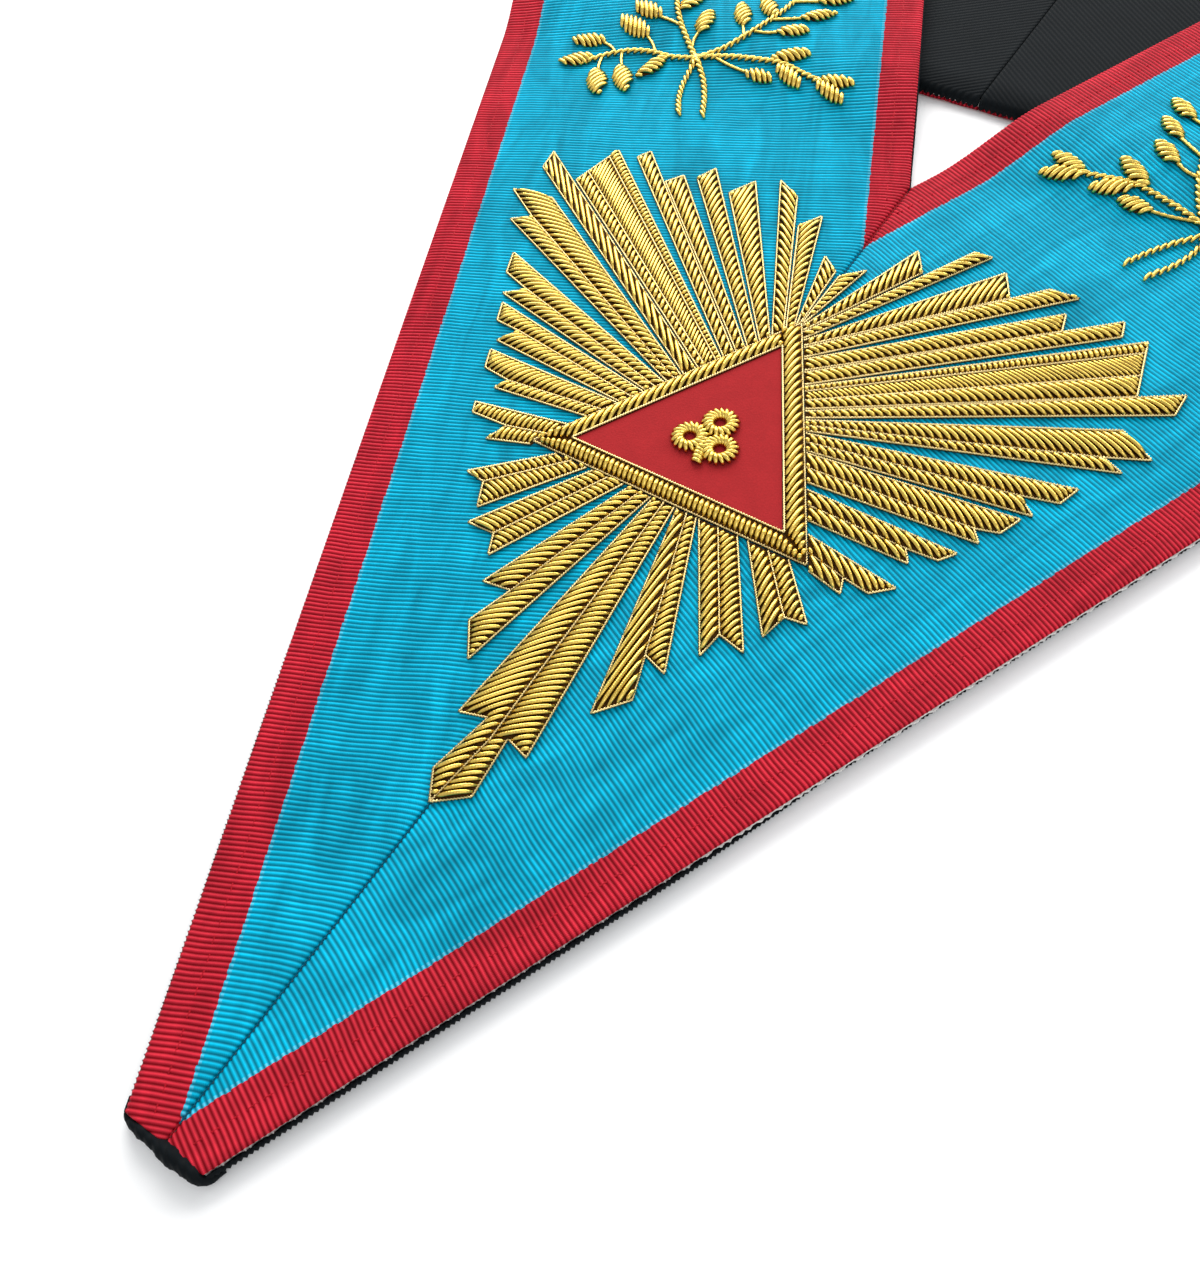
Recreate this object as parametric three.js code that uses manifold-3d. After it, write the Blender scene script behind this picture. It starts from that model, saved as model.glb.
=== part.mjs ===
import * as THREE from 'three';
import Module from 'manifold-3d';

const wasm = await Module();
wasm.setup();

// Driving dimensions, in mm. The table is z = 0, the tip points to -Y.
const RIBBON_WIDTH = 100;
const ARM_ANGLE = THREE.MathUtils.degToRad(24);
const TIP_CUT = 17.5;
const CLOTH = 1.0;
const GAP = 0.3;
const SEAM_GAP = 0.3;
const BACK_EDGE = 34;
const FOLD_GAP = 0.6;
const RAMP_START = 6;
const RAMP_END = 32;
const LIP_HEIGHT = 3.4;
const LIP_THICKNESS = 1.1;

// The inner corner of the V stands this far up the Y axis of the row's frame.
const CORNER_Y = 46.92;

const PITCH = CLOTH + GAP;
const STACK = 3 * CLOTH + 2 * GAP;
const LIFT = STACK + FOLD_GAP;
const FOLD_AXIS = STACK + FOLD_GAP / 2;
const TAN = Math.tan(ARM_ANGLE);
const MITRE_LENGTH = RIBBON_WIDTH / Math.sin(ARM_ANGLE);
const TIP_Y = TIP_CUT - MITRE_LENGTH;

// Each layer of a half: its height in the stack and how far it stands out past the face.
const LAYERS = {
  lining: { level: 0, beyond: 0.6, color: '#17171b', roughness: 0.85 },
  interlining: { level: 1, beyond: 0.25, color: '#e6e3dc', roughness: 0.9 },
  face_ribbon: { level: 2, beyond: 0, color: '#12a5c4', roughness: 0.5 },
};

const GOLD = { color: '#c9962f', roughness: 0.35, metalness: 0.9 };
const FELT = { color: '#b3202c', roughness: 0.9, metalness: 0 };

// Padded triangle in the middle of the glory, measured from the inner corner of the V.
// The radii are those of circles that touch the triangle's sides from inside.
// The glory's rays are drawn in hundredths of GLORY_SIZE.
const TRIANGLE_Y = -80.2;
const GLORY_SIZE = 100;
const FRAME_OUTER = 0.172 * GLORY_SIZE;
const FRAME_BAND = 0.256 * FRAME_OUTER;
const FRAME_INNER = FRAME_OUTER - FRAME_BAND;
const FIELD_RADIUS = FRAME_INNER - GAP;
const FIELD_HEIGHT = 1.0;
const FRAME_HEIGHT = 2.6;
const FRAME_CORD = 0.46 * FRAME_HEIGHT;
const FRAME_BEVEL = 0.32 * FRAME_BAND;
const RAY_SLAB = 0.6;
const RAY_HEIGHT = 1.7;
const RAY_BEVEL = 0.65;

const root = new THREE.Group();
root.name = 'masonic_collar';

function material(look) {
  return new THREE.MeshStandardMaterial({
    color: look.color,
    roughness: look.roughness,
    metalness: look.metalness ?? 0,
  });
}

function addMesh(name, solid, look) {
  const out = solid.getMesh();
  const geometry = new THREE.BufferGeometry();
  geometry.setAttribute('position', new THREE.BufferAttribute(out.vertProperties, 3));
  geometry.setIndex(new THREE.BufferAttribute(out.triVerts, 1));
  geometry.translate(0, CORNER_Y, 0);
  const flat = geometry.toNonIndexed();
  flat.computeVertexNormals();
  const mesh = new THREE.Mesh(flat, material(look));
  mesh.name = name;
  root.add(mesh);
}

// Height of the arm's underside over the table: flat at the V, raised where it lies on the back part.
function armLift(y) {
  const t = THREE.MathUtils.clamp((y - RAMP_START) / (RAMP_END - RAMP_START), 0, 1);
  return LIFT * t * t * (3 - 2 * t);
}

// Closed body from rings of the same number of points, capped at both ends.
function loft(rings) {
  const count = rings[0].length;
  const points = [];
  const index = new Map();
  const id = ([x, y, z]) => {
    const key = `${x.toFixed(4)},${y.toFixed(4)},${z.toFixed(4)}`;
    if (!index.has(key)) {
      index.set(key, points.length / 3);
      points.push(x, y, z);
    }
    return index.get(key);
  };
  const triangles = [];
  const face = (a, b, c) => {
    if (a !== b && b !== c && c !== a) triangles.push(a, b, c);
  };
  const ids = rings.map((ring) => ring.map(id));
  for (let i = 0; i + 1 < ids.length; i += 1) {
    for (let k = 0; k < count; k += 1) {
      const n = (k + 1) % count;
      face(ids[i][k], ids[i][n], ids[i + 1][n]);
      face(ids[i][k], ids[i + 1][n], ids[i + 1][k]);
    }
  }
  const cap = (ring, list, reverse) => {
    const flat = planar(ring);
    const ccw = THREE.ShapeUtils.area(flat) > 0;
    THREE.ShapeUtils.triangulateShape(ccw ? flat : [...flat].reverse(), []).forEach(([a, b, c]) => {
      const pick = (k) => list[ccw ? k : count - 1 - k];
      if (ccw === reverse) face(pick(c), pick(b), pick(a));
      else face(pick(a), pick(b), pick(c));
    });
  };
  cap(rings[0], ids[0], true);
  cap(rings[rings.length - 1], ids[ids.length - 1], false);
  const build = (list) => new wasm.Manifold(
    new wasm.Mesh({ numProp: 3, vertProperties: new Float32Array(points), triVerts: new Uint32Array(list) }),
  );
  const solid = build(triangles);
  if (solid.volume() > 0) return solid;
  const turned = [];
  for (let i = 0; i < triangles.length; i += 3) turned.push(triangles[i], triangles[i + 2], triangles[i + 1]);
  return build(turned);
}

// Ring points laid in their own plane, for the caps.
function planar(ring) {
  const p = ring.map((q) => new THREE.Vector3(...q));
  const normal = new THREE.Vector3();
  p.forEach((a, i) => {
    const b = p[(i + 1) % p.length];
    normal.add(new THREE.Vector3().crossVectors(a, b));
  });
  normal.normalize();
  const side = new THREE.Vector3().subVectors(p[1], p[0]).normalize();
  const up = new THREE.Vector3().crossVectors(normal, side);
  return p.map((q) => new THREE.Vector2(q.dot(side), q.dot(up)));
}

// One layer of the right half as four-cornered sections: inner bottom, inner top, outer top, outer bottom.
function ribbonSections(layer) {
  const low = layer.level * PITCH;
  const high = low + CLOTH;
  const out = layer.beyond / Math.cos(ARM_ANGLE);
  const inner = (y) => Math.max(SEAM_GAP / 2, y * TAN);
  const outer = (y) => (y + MITRE_LENGTH) * TAN + out;
  const sections = [];
  const flat = (y) => {
    const h = armLift(y);
    const a = inner(y);
    const b = outer(y);
    sections.push([[a, y, h + low], [a, y, h + high], [b, y, h + high], [b, y, h + low]]);
  };
  if (layer.level === 0) {
    const a = SEAM_GAP / 2;
    const edge = TIP_Y - 0.5;
    const face = edge - LIP_THICKNESS;
    const top = (y) => [y, LIP_HEIGHT];
    const [y0, y1] = [face, edge];
    sections.push([[a, ...top(y0)], [a, ...top(y1)], [outer(y1), ...top(y1)], [outer(y0), ...top(y0)]]);
    sections.push([[a, y0, low], [a, y1, high], [outer(y1), y1, high], [outer(y0), y0, low]]);
  }
  flat(TIP_Y);
  flat(0);
  for (let y = RAMP_START; y < RAMP_END; y += 2) flat(y);
  flat(RAMP_END);

  // The shoulder: the ribbon rolls under about the fold line and comes back lining up.
  const corner = [(BACK_EDGE + MITRE_LENGTH) * TAN, BACK_EDGE];
  const turn = [(BACK_EDGE + RIBBON_WIDTH) * TAN, BACK_EDGE + RIBBON_WIDTH];
  const along = new THREE.Vector2(turn[0] - corner[0], turn[1] - corner[1]).normalize();
  const away = new THREE.Vector2(along.y, -along.x);
  const start = new THREE.Vector2(...corner).addScaledVector(along, out / (along.x - along.y * TAN));
  const end = new THREE.Vector2(...turn);
  for (let k = 0; k <= 8; k += 1) {
    const angle = (Math.PI * k) / 8;
    const at = (p, height) => {
      const r = height + LIFT - FOLD_AXIS;
      return [
        p.x + away.x * r * Math.sin(angle),
        p.y + away.y * r * Math.sin(angle),
        FOLD_AXIS + r * Math.cos(angle),
      ];
    };
    sections.push([at(end, low), at(end, high), at(start, high), at(start, low)]);
  }
  const under = (height) => FOLD_AXIS - (height + LIFT - FOLD_AXIS);
  const x = SEAM_GAP / 2;
  const edge = BACK_EDGE - layer.beyond;
  const nape = BACK_EDGE + RIBBON_WIDTH;
  sections.push([[x, nape, under(low)], [x, nape, under(high)], [x, edge, under(high)], [x, edge, under(low)]]);
  return sections;
}

function mirrored(rings) {
  return rings.map((ring) => ring.map(([x, y, z]) => [-x, y, z]).reverse());
}

for (const [name, layer] of Object.entries(LAYERS)) {
  const rings = ribbonSections(layer);
  addMesh(`${name}_left`, loft(mirrored(rings)), layer);
  addMesh(`${name}_right`, loft(rings), layer);
}

const FACE_TOP = STACK;
const SEWN_ON = FACE_TOP + GAP;

// Outline moved inwards by a distance, corner by corner.
function inset(outline, distance) {
  const n = outline.length;
  return outline.map((p, i) => {
    const a = outline[(i + n - 1) % n];
    const b = outline[(i + 1) % n];
    const u = new THREE.Vector2(p[0] - a[0], p[1] - a[1]).normalize();
    const v = new THREE.Vector2(b[0] - p[0], b[1] - p[1]).normalize();
    const half = Math.max(0.3, Math.sqrt((1 + u.x * v.x + u.y * v.y) / 2));
    const m = new THREE.Vector2(-u.y - v.y, u.x + v.x).normalize();
    const room = 0.38 * Math.min(Math.hypot(p[0] - a[0], p[1] - a[1]), Math.hypot(p[0] - b[0], p[1] - b[1]));
    const reach = Math.min(distance / half, room);
    return [p[0] + m.x * reach, p[1] + m.y * reach];
  });
}

function counterClockwise(outline) {
  const area = THREE.ShapeUtils.area(outline.map((p) => new THREE.Vector2(...p)));
  return area > 0 ? outline : [...outline].reverse();
}

// A padded piece: upright to the cord's height, then drawn in towards the top.
function pad(outline, bottom, cord, top, bevel) {
  const base = counterClockwise(outline);
  const at = (shape, z) => shape.map(([x, y]) => [x, y + TRIANGLE_Y, z]);
  const rings = [at(base, bottom), at(base, cord)];
  if (top > cord) rings.push(at(inset(base, bevel), top));
  return loft(rings);
}

function triangleOutline(radius) {
  const half = radius * Math.sqrt(3);
  return [[0, 2 * radius], [-half, -radius], [half, -radius]];
}

const field = pad(triangleOutline(FIELD_RADIUS), SEWN_ON, SEWN_ON + FIELD_HEIGHT, 0, 0);
addMesh('triangle_field', field, FELT);

// The frame: outer cord, rounded pad, inner cord.
const frameCord = SEWN_ON + FRAME_CORD;
const frameTop = SEWN_ON + FRAME_HEIGHT;
const frameBody = pad(triangleOutline(FRAME_OUTER), SEWN_ON, frameCord, frameTop, FRAME_BEVEL);
const hole = pad(triangleOutline(FRAME_INNER), SEWN_ON - GAP, frameCord, 0, 0);
const flareTop = frameTop + FRAME_CORD * 0.2;
const flare = loft([[FRAME_INNER, frameCord], [FRAME_INNER + FRAME_BEVEL * 1.2, flareTop]].map(
  ([radius, z]) => triangleOutline(radius).map(([x, y]) => [x, y + TRIANGLE_Y, z]),
));
addMesh('triangle_frame', frameBody.subtract(hole).subtract(flare), GOLD);

// Rays, in hundredths of the glory's size from the middle of the triangle. outline: the edge nearer
// the top of the triangle first, as its root and the points round the tip, then the other edge's root.
// valley: which point of the outline, counted from 0, the middle cord starts from. bend: where that
// cord bends on its way to the root. lanes: shares of the width where the cords of a wide ray run.
const RAYS = [
  { name: 'ray_left_1', outline: [[-0.3, 34.9], [-1.3, 49.9], [-5.1, 52.8], [-0.9, 33.9]] },
  { name: 'ray_left_2', outline: [[-1.2, 33.3], [-11.6, 63.2], [-14.4, 58.6], [-2.1, 31.4]] },
  { name: 'ray_left_3', outline: [[-2.4, 31.0], [-19.3, 66.4], [-24.8, 69.4], [-3.7, 28.7]] },
  { name: 'ray_left_4', outline: [[-4.0, 28.4], [-29.6, 66.6], [-32.6, 61.1], [-5.1, 26.2]] },
  { name: 'ray_left_5', outline: [[-5.4, 25.8], [-39.4, 66.5], [-41.3, 62.2], [-6.5, 23.7]] },
  { name: 'ray_left_6', outline: [[-6.8, 23.4], [-44.4, 61.4], [-46.8, 58.0], [-7.8, 21.5]] },
  { name: 'ray_left_7', outline: [[-8.0, 21.2], [-55.3, 65.1], [-56.9, 62.3], [-9.1, 19.4]] },
  { name: 'ray_left_8', outline: [[-9.6, 18.5], [-62.0, 62.2], [-64.8, 49.7], [-12.0, 14.3]], lanes: [0.3, 0.82] },
  { name: 'ray_left_9', outline: [[-12.3, 13.8], [-74.9, 55.3], [-74.0, 50.0], [-13.5, 11.7]] },
  {
    name: 'ray_left_10',
    outline: [[-14.0, 10.9], [-66.3, 42.2], [-75.6, 40.8], [-66.4, 35.2], [-70.3, 32.5], [-15.5, 8.2]],
    valley: 3,
  },
  {
    name: 'ray_left_11',
    outline: [[-15.7, 7.9], [-63.4, 24.0], [-61.2, 18.5], [-54.1, 16.2], [-58.1, 13.1], [-17.8, 4.2]],
    valley: 3,
  },
  {
    name: 'ray_left_12',
    outline: [[-18.0, 3.9], [-56.5, 10.6], [-54.5, 6.1], [-48.6, 5.7], [-51.1, 1.5], [-20.6, -0.6]],
    valley: 3,
  },
  {
    name: 'ray_left_13',
    outline: [[-20.9, -1.1], [-50.7, -1.4], [-48.8, -5.7], [-42.3, -6.4], [-43.9, -9.2], [-24.0, -6.4]],
    valley: 3,
  },
  {
    name: 'ray_left_14',
    outline: [[-26.5, -10.8], [-44.9, -14.2], [-43.8, -16.5], [-35.7, -16.1], [-37.4, -20.6], [-30.0, -17.2]],
    valley: 3,
  },
  {
    name: 'ray_left_15',
    outline: [[-23.1, -17.5], [-35.7, -28.9], [-31.6, -29.4], [-29.0, -34.7], [-17.3, -17.5]],
    valley: 2,
  },
  {
    name: 'ray_left_16',
    outline: [[-14.8, -17.5], [-28.2, -38.5], [-22.7, -38.2], [-20.7, -42.5], [-9.1, -17.5]],
    valley: 2,
  },
  {
    name: 'ray_left_17',
    outline: [[-6.7, -17.5], [-17.9, -47.7], [-12.4, -46.8], [-15.1, -55.6], [-10.6, -61.9], [-2.6, -17.5]],
    valley: 2,
  },
  {
    name: 'ray_bottom',
    outline: [
      [-1.8, -17.5], [-5.6, -71.0], [-0.6, -69.4], [-2.8, -81.6], [0.3, -86.6],
      [5.5, -82.4], [4.3, -70.9], [8.9, -72.2], [2.5, -17.5],
    ],
    valley: 4,
    bend: [[1.9, -72.5], [1.5, -60]],
  },
  {
    name: 'ray_right_17',
    outline: [[6.9, -17.5], [19.6, -47.6], [14.9, -46.1], [17.8, -54.6], [13.5, -60.0], [3.3, -17.5]],
    valley: 2,
  },
  {
    name: 'ray_right_16',
    outline: [[15.3, -17.5], [28.7, -37.5], [23.5, -36.4], [22.9, -41.6], [8.3, -17.5]],
    valley: 2,
  },
  {
    name: 'ray_right_15',
    outline: [[25.6, -17.5], [35.0, -27.4], [31.1, -28.0], [30.0, -33.1], [18.5, -17.5]],
    valley: 2,
  },
  {
    name: 'ray_right_14',
    outline: [[26.9, -11.4], [44.3, -13.6], [40.9, -16.7], [35.7, -15.9], [36.8, -19.1], [30.5, -17.4]],
    valley: 3,
  },
  {
    name: 'ray_right_13',
    outline: [[21.8, -2.6], [49.9, -2.1], [47.9, -4.8], [41.9, -5.2], [43.7, -7.9], [24.7, -7.7]],
    valley: 3,
  },
  {
    name: 'ray_right_12',
    outline: [[17.5, 5.0], [56.1, 9.8], [54.4, 5.6], [50.0, 4.3], [52.1, 1.8], [20.4, -0.2]],
    valley: 3,
  },
  {
    name: 'ray_right_11',
    outline: [[14.9, 9.5], [61.9, 20.7], [60.5, 16.5], [53.6, 14.7], [57.5, 11.6], [16.8, 6.1]],
    valley: 3,
  },
  {
    name: 'ray_right_10',
    outline: [[13.2, 12.4], [63.4, 37.0], [70.1, 33.0], [62.6, 29.6], [66.8, 27.8], [14.6, 10.0]],
    valley: 3,
  },
  { name: 'ray_right_9', outline: [[12.1, 14.3], [69.9, 50.2], [69.8, 44.9], [13.0, 12.8]] },
  { name: 'ray_right_8', outline: [[8.9, 19.7], [59.1, 59.6], [62.4, 46.0], [11.8, 14.8]], lanes: [0.3, 0.82] },
  { name: 'ray_right_7', outline: [[7.1, 23.0], [53.4, 62.6], [54.4, 58.9], [8.7, 20.1]] },
  { name: 'ray_right_6', outline: [[5.3, 26.0], [43.1, 59.5], [44.2, 55.1], [6.9, 23.3]] },
  { name: 'ray_right_5', outline: [[3.8, 28.7], [37.9, 64.5], [43.5, 64.7], [5.1, 26.3]] },
  { name: 'ray_right_4', outline: [[2.8, 30.4], [28.5, 64.7], [31.9, 58.8], [3.6, 29.0]] },
  { name: 'ray_right_3', outline: [[1.6, 32.4], [20.7, 67.5], [24.2, 67.7], [2.5, 30.9]] },
  { name: 'ray_right_2', outline: [[0.7, 34.0], [10.6, 62.6], [14.0, 57.5], [1.4, 32.8]] },
  { name: 'ray_right_1', outline: [[-0.1, 35.4], [0.2, 49.0], [4.0, 52.9], [0.5, 34.6]] },
];

function between(a, b, t) {
  return [a[0] + (b[0] - a[0]) * t, a[1] + (b[1] - a[1]) * t];
}

function scaled(points) {
  return points.map(([x, y]) => [(x * GLORY_SIZE) / 100, (y * GLORY_SIZE) / 100]);
}

// Where an edge, followed from its tip, meets the frame's outer cord.
function rootOnFrame(tip, rough) {
  const radius = FRAME_OUTER + GAP;
  const reach = [90 + 60, 90 - 60, 270].map((degrees) => {
    const a = THREE.MathUtils.degToRad(degrees);
    const out = (p) => p[0] * Math.cos(a) + p[1] * Math.sin(a);
    const drop = out(tip) - out(rough);
    return out(tip) <= radius || drop <= 0 ? Infinity : (out(tip) - radius) / drop;
  });
  const nearest = Math.max(...reach.filter(Number.isFinite));
  return between(tip, rough, nearest);
}

// The strips of wire a ray is made of, each its own outline.
function laneOutlines(ray, o) {
  const last = o.length - 1;
  if (ray.valley) {
    const cord = [...scaled(ray.bend ?? []), between(o[0], o[last], 0.5)];
    return [
      [...o.slice(0, ray.valley + 1), ...cord],
      [o[ray.valley], ...o.slice(ray.valley + 1), ...[...cord].reverse()],
    ];
  }
  if (ray.lanes) {
    const cuts = [0, ...ray.lanes, 1];
    return cuts.slice(1).map((t, i) => {
      const s = cuts[i];
      return [
        between(o[0], o[last], s), between(o[1], o[2], s),
        between(o[1], o[2], t), between(o[0], o[last], t),
      ];
    });
  }
  return [o];
}

for (const ray of RAYS) {
  const rough = scaled(ray.outline);
  const last = rough.length - 1;
  const outline = [
    rootOnFrame(rough[1], rough[0]), ...rough.slice(1, last), rootOnFrame(rough[last - 1], rough[last]),
  ];
  const slab = pad(outline, SEWN_ON, SEWN_ON + RAY_SLAB, 0, 0);
  const lanes = laneOutlines(ray, outline).map((lane) => {
    const drawn = inset(counterClockwise(lane), 0.02);
    return pad(drawn, SEWN_ON, SEWN_ON + RAY_SLAB, SEWN_ON + RAY_HEIGHT, RAY_BEVEL);
  });
  addMesh(ray.name, wasm.Manifold.union([slab, ...lanes]), GOLD);
}

// Strip of the given width along a line of points, following the height of the arm where asked.
function strip(points, width, bottom, height, onArm) {
  const rings = points.map((p, i) => {
    const a = points[Math.max(0, i - 1)];
    const b = points[Math.min(points.length - 1, i + 1)];
    const d = new THREE.Vector2(b[0] - a[0], b[1] - a[1]).normalize();
    const at = (side, z) => {
      const x = p[0] - d.y * side;
      const y = p[1] + d.x * side;
      return [x, y, z + (onArm ? armLift(y) : 0)];
    };
    return [
      at(width / 2, bottom), at(width / 2, bottom + height * 0.45), at(width * 0.2, bottom + height),
      at(-width * 0.2, bottom + height), at(-width / 2, bottom + height * 0.45), at(-width / 2, bottom),
    ];
  });
  return loft(rings);
}

function curved(points, spacing) {
  const curve = new THREE.CatmullRomCurve3(points.map(([x, y]) => new THREE.Vector3(x, y, 0)));
  const steps = Math.max(2, Math.ceil(curve.getLength() / spacing));
  return curve.getSpacedPoints(steps).map((p) => [p.x, p.y]);
}

// The trefoil: three rings of padded band and a short stalk, one body. Shares of the frame's radius.
const TREFOIL = { leaf: 0.215, crown: 0.17, reach: 0.215, eye: 0.07, band: 0.13, stalk: 0.42, drop: 0.035 };
const TREFOIL_HEIGHT = 1.9;

function trefoil() {
  const size = (share) => share * FRAME_OUTER;
  const bottom = SEWN_ON + FIELD_HEIGHT + GAP;
  const centreY = TRIANGLE_Y - size(TREFOIL.drop);
  const half = TREFOIL_HEIGHT / 2;
  const rings = [90, 210, 330].map((degrees) => {
    const angle = THREE.MathUtils.degToRad(degrees);
    const x = size(TREFOIL.reach) * Math.cos(angle);
    const y = centreY + size(TREFOIL.reach) * Math.sin(angle);
    const band = wasm.Manifold.cylinder(half, size(TREFOIL.leaf), size(TREFOIL.leaf), 20);
    const crown = wasm.Manifold.cylinder(half, size(TREFOIL.leaf), size(TREFOIL.crown), 20).translate(0, 0, half);
    const eye = wasm.Manifold.cylinder(TREFOIL_HEIGHT * 2, size(TREFOIL.eye), size(TREFOIL.eye), 12)
      .translate(0, 0, -half);
    return band.add(crown).subtract(eye).translate(x, y, bottom);
  });
  const foot = centreY - size(TREFOIL.stalk);
  const line = [[0, centreY], [size(0.01), (centreY + foot) / 2], [size(0.07), foot]];
  return wasm.Manifold.union([...rings, strip(line, size(TREFOIL.band), bottom, TREFOIL_HEIGHT, false)]);
}
addMesh('trefoil', trefoil(), GOLD);

// The left sprig, with X counted out from the axis, in hundredths of the ribbon's width from the corner
// of the V.
const PERCENT = RIBBON_WIDTH / 100;
const STEMS = [
  { width: 2.3, points: [[57.4, -0.4], [60.0, 4.1], [61.8, 8.8], [62.6, 13.2], [63.1, 16.7]] },
  { width: 2.3, points: [[52.1, 1.4], [54.8, 6.6], [58.1, 11.6], [61.2, 14.9], [63.4, 17.0]] },
  { width: 2.1, points: [[62.9, 16.7], [69.2, 15.0], [74.6, 14.7], [81.5, 12.2], [85.2, 9.1], [87.6, 6.3]] },
  { width: 2.1, points: [[63.3, 16.9], [55.6, 19.6], [49.6, 20.9], [43.7, 21.8], [38.1, 21.0], [31.5, 19.8]] },
  { width: 2.3, points: [[62.9, 16.4], [66.0, 19.0], [72.8, 25.4], [77.2, 31.1], [80.5, 38.0]] },
  { width: 2.3, points: [[63.3, 16.4], [58.6, 21.0], [55.5, 26.2], [53.0, 33.4], [51.7, 40.5], [51.6, 47.0]] },
  { width: 1.2, points: [[82.2, 11.6], [84.5, 13.0], [87.4, 13.6]] },
  { width: 1.2, points: [[73.2, 15.0], [75.2, 17.0], [78.2, 18.9]] },
  { width: 1.2, points: [[71.4, 24.0], [74.6, 24.6], [78.4, 24.8]] },
  { width: 1.2, points: [[65.4, 18.6], [66.4, 21.3], [66.5, 24.0]] },
  { width: 1.2, points: [[84.8, 9.4], [83.9, 6.6], [82.4, 4.2]] },
  { width: 1.2, points: [[81.0, 12.3], [79.8, 10.1], [78.0, 7.9]] },
  { width: 1.2, points: [[55.6, 26.0], [56.7, 27.6], [58.0, 29.6]] },
  { width: 1.2, points: [[54.6, 28.4], [51.5, 28.9], [48.5, 30.4]] },
  { width: 1.2, points: [[53.0, 33.6], [49.6, 35.4], [46.0, 37.5]] },
  { width: 1.2, points: [[59.0, 18.4], [54.0, 17.4], [49.3, 17.0]] },
  { width: 1.2, points: [[51.7, 42.0], [48.6, 43.6], [45.5, 44.8]] },
  { width: 1.2, points: [[78.4, 33.2], [82.0, 34.2], [85.4, 34.6]] },
];

const LEAVES = [
  { from: [86.2, 8.0], to: [93.7, 3.6], width: 4.6 },
  { from: [86.6, 13.7], to: [95.4, 11.6], width: 4.2 },
  { from: [77.4, 18.4], to: [87.7, 22.0], width: 5.2 },
  { from: [77.6, 24.7], to: [87.1, 26.9], width: 4.8 },
  { from: [66.5, 23.2], to: [67.0, 31.3], width: 4.4 },
  { from: [83.0, 5.0], to: [78.0, -3.4], width: 5.2 },
  { from: [78.6, 8.6], to: [72.7, 0.4], width: 5.0 },
  { from: [69.8, 14.4], to: [73.5, 6.6], width: 3.8 },
  { from: [57.6, 28.8], to: [62.0, 36.7], width: 4.4 },
  { from: [49.3, 30.0], to: [41.9, 33.8], width: 3.8 },
  { from: [46.8, 37.0], to: [39.9, 42.0], width: 3.6 },
  { from: [46.4, 22.6], to: [37.7, 26.7], width: 3.9 },
  { from: [50.2, 17.1], to: [42.1, 16.7], width: 3.6 },
  { from: [43.8, 21.2], to: [35.4, 16.7], width: 4.0 },
  { from: [33.6, 20.4], to: [24.3, 22.0], width: 3.6 },
  { from: [33.0, 19.9], to: [24.2, 16.2], width: 3.8 },
  { from: [53.0, 34.6], to: [58.6, 41.2], width: 4.4 },
  { from: [46.4, 44.5], to: [39.0, 48.6], width: 3.8 },
  { from: [51.6, 46.0], to: [52.6, 54.5], width: 4.4 },
  { from: [74.6, 28.4], to: [72.0, 36.6], width: 4.2 },
  { from: [84.4, 34.5], to: [92.0, 37.2], width: 4.4 },
  { from: [80.2, 37.2], to: [83.4, 45.6], width: 4.6 },
];

const LEAF_SHAPE = [0.25, 0.8, 1, 0.75, 0.12];
const LEAF_HEIGHT = 1.5;
const STEM_HEIGHT = 0.6;

// Padded leaf, widest near its middle, with a ridge along it.
function leaf({ from, to, width }, place) {
  const [a, b] = [place(from), place(to)];
  const d = new THREE.Vector2(b[0] - a[0], b[1] - a[1]).normalize();
  const rings = LEAF_SHAPE.map((share, i) => {
    const t = i / (LEAF_SHAPE.length - 1);
    const p = between(a, b, t);
    const half = (width / 2) * share * PERCENT;
    const at = (side, z) => {
      const q = [p[0] - d.y * side, p[1] + d.x * side];
      return [...q, SEWN_ON + z + armLift(q[1])];
    };
    const rise = LEAF_HEIGHT * (0.5 + 0.5 * share);
    const edge = LEAF_HEIGHT / 3;
    return [at(half, 0), at(half, edge), at(0, rise), at(-half, edge), at(-half, 0)];
  });
  return loft(rings);
}

function sprig(place) {
  const stems = STEMS.map(({ width, points }) => strip(
    curved(points.map(place), 3.4 * PERCENT),
    width * PERCENT,
    SEWN_ON,
    STEM_HEIGHT + width * PERCENT * 0.3,
    true,
  ));
  const leaves = LEAVES.map((row) => leaf(row, place));
  return wasm.Manifold.union([...stems, ...leaves]);
}

const RIGHT_SPRIG = { scale: 0.956, turn: THREE.MathUtils.degToRad(-3.36), shift: [-2.26, -0.12] };

function onRight([x, y]) {
  const c = Math.cos(RIGHT_SPRIG.turn) * RIGHT_SPRIG.scale;
  const s = Math.sin(RIGHT_SPRIG.turn) * RIGHT_SPRIG.scale;
  const [right, up] = RIGHT_SPRIG.shift;
  return [(c * x - s * y + right) * PERCENT, (s * x + c * y + up) * PERCENT];
}

addMesh('sprig_left', sprig(([x, y]) => [-x * PERCENT, y * PERCENT]), GOLD);
addMesh('sprig_right', sprig(onRight), GOLD);

export default root;
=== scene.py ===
import math

import bpy
import numpy as np
from mathutils import Matrix, Vector


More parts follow.
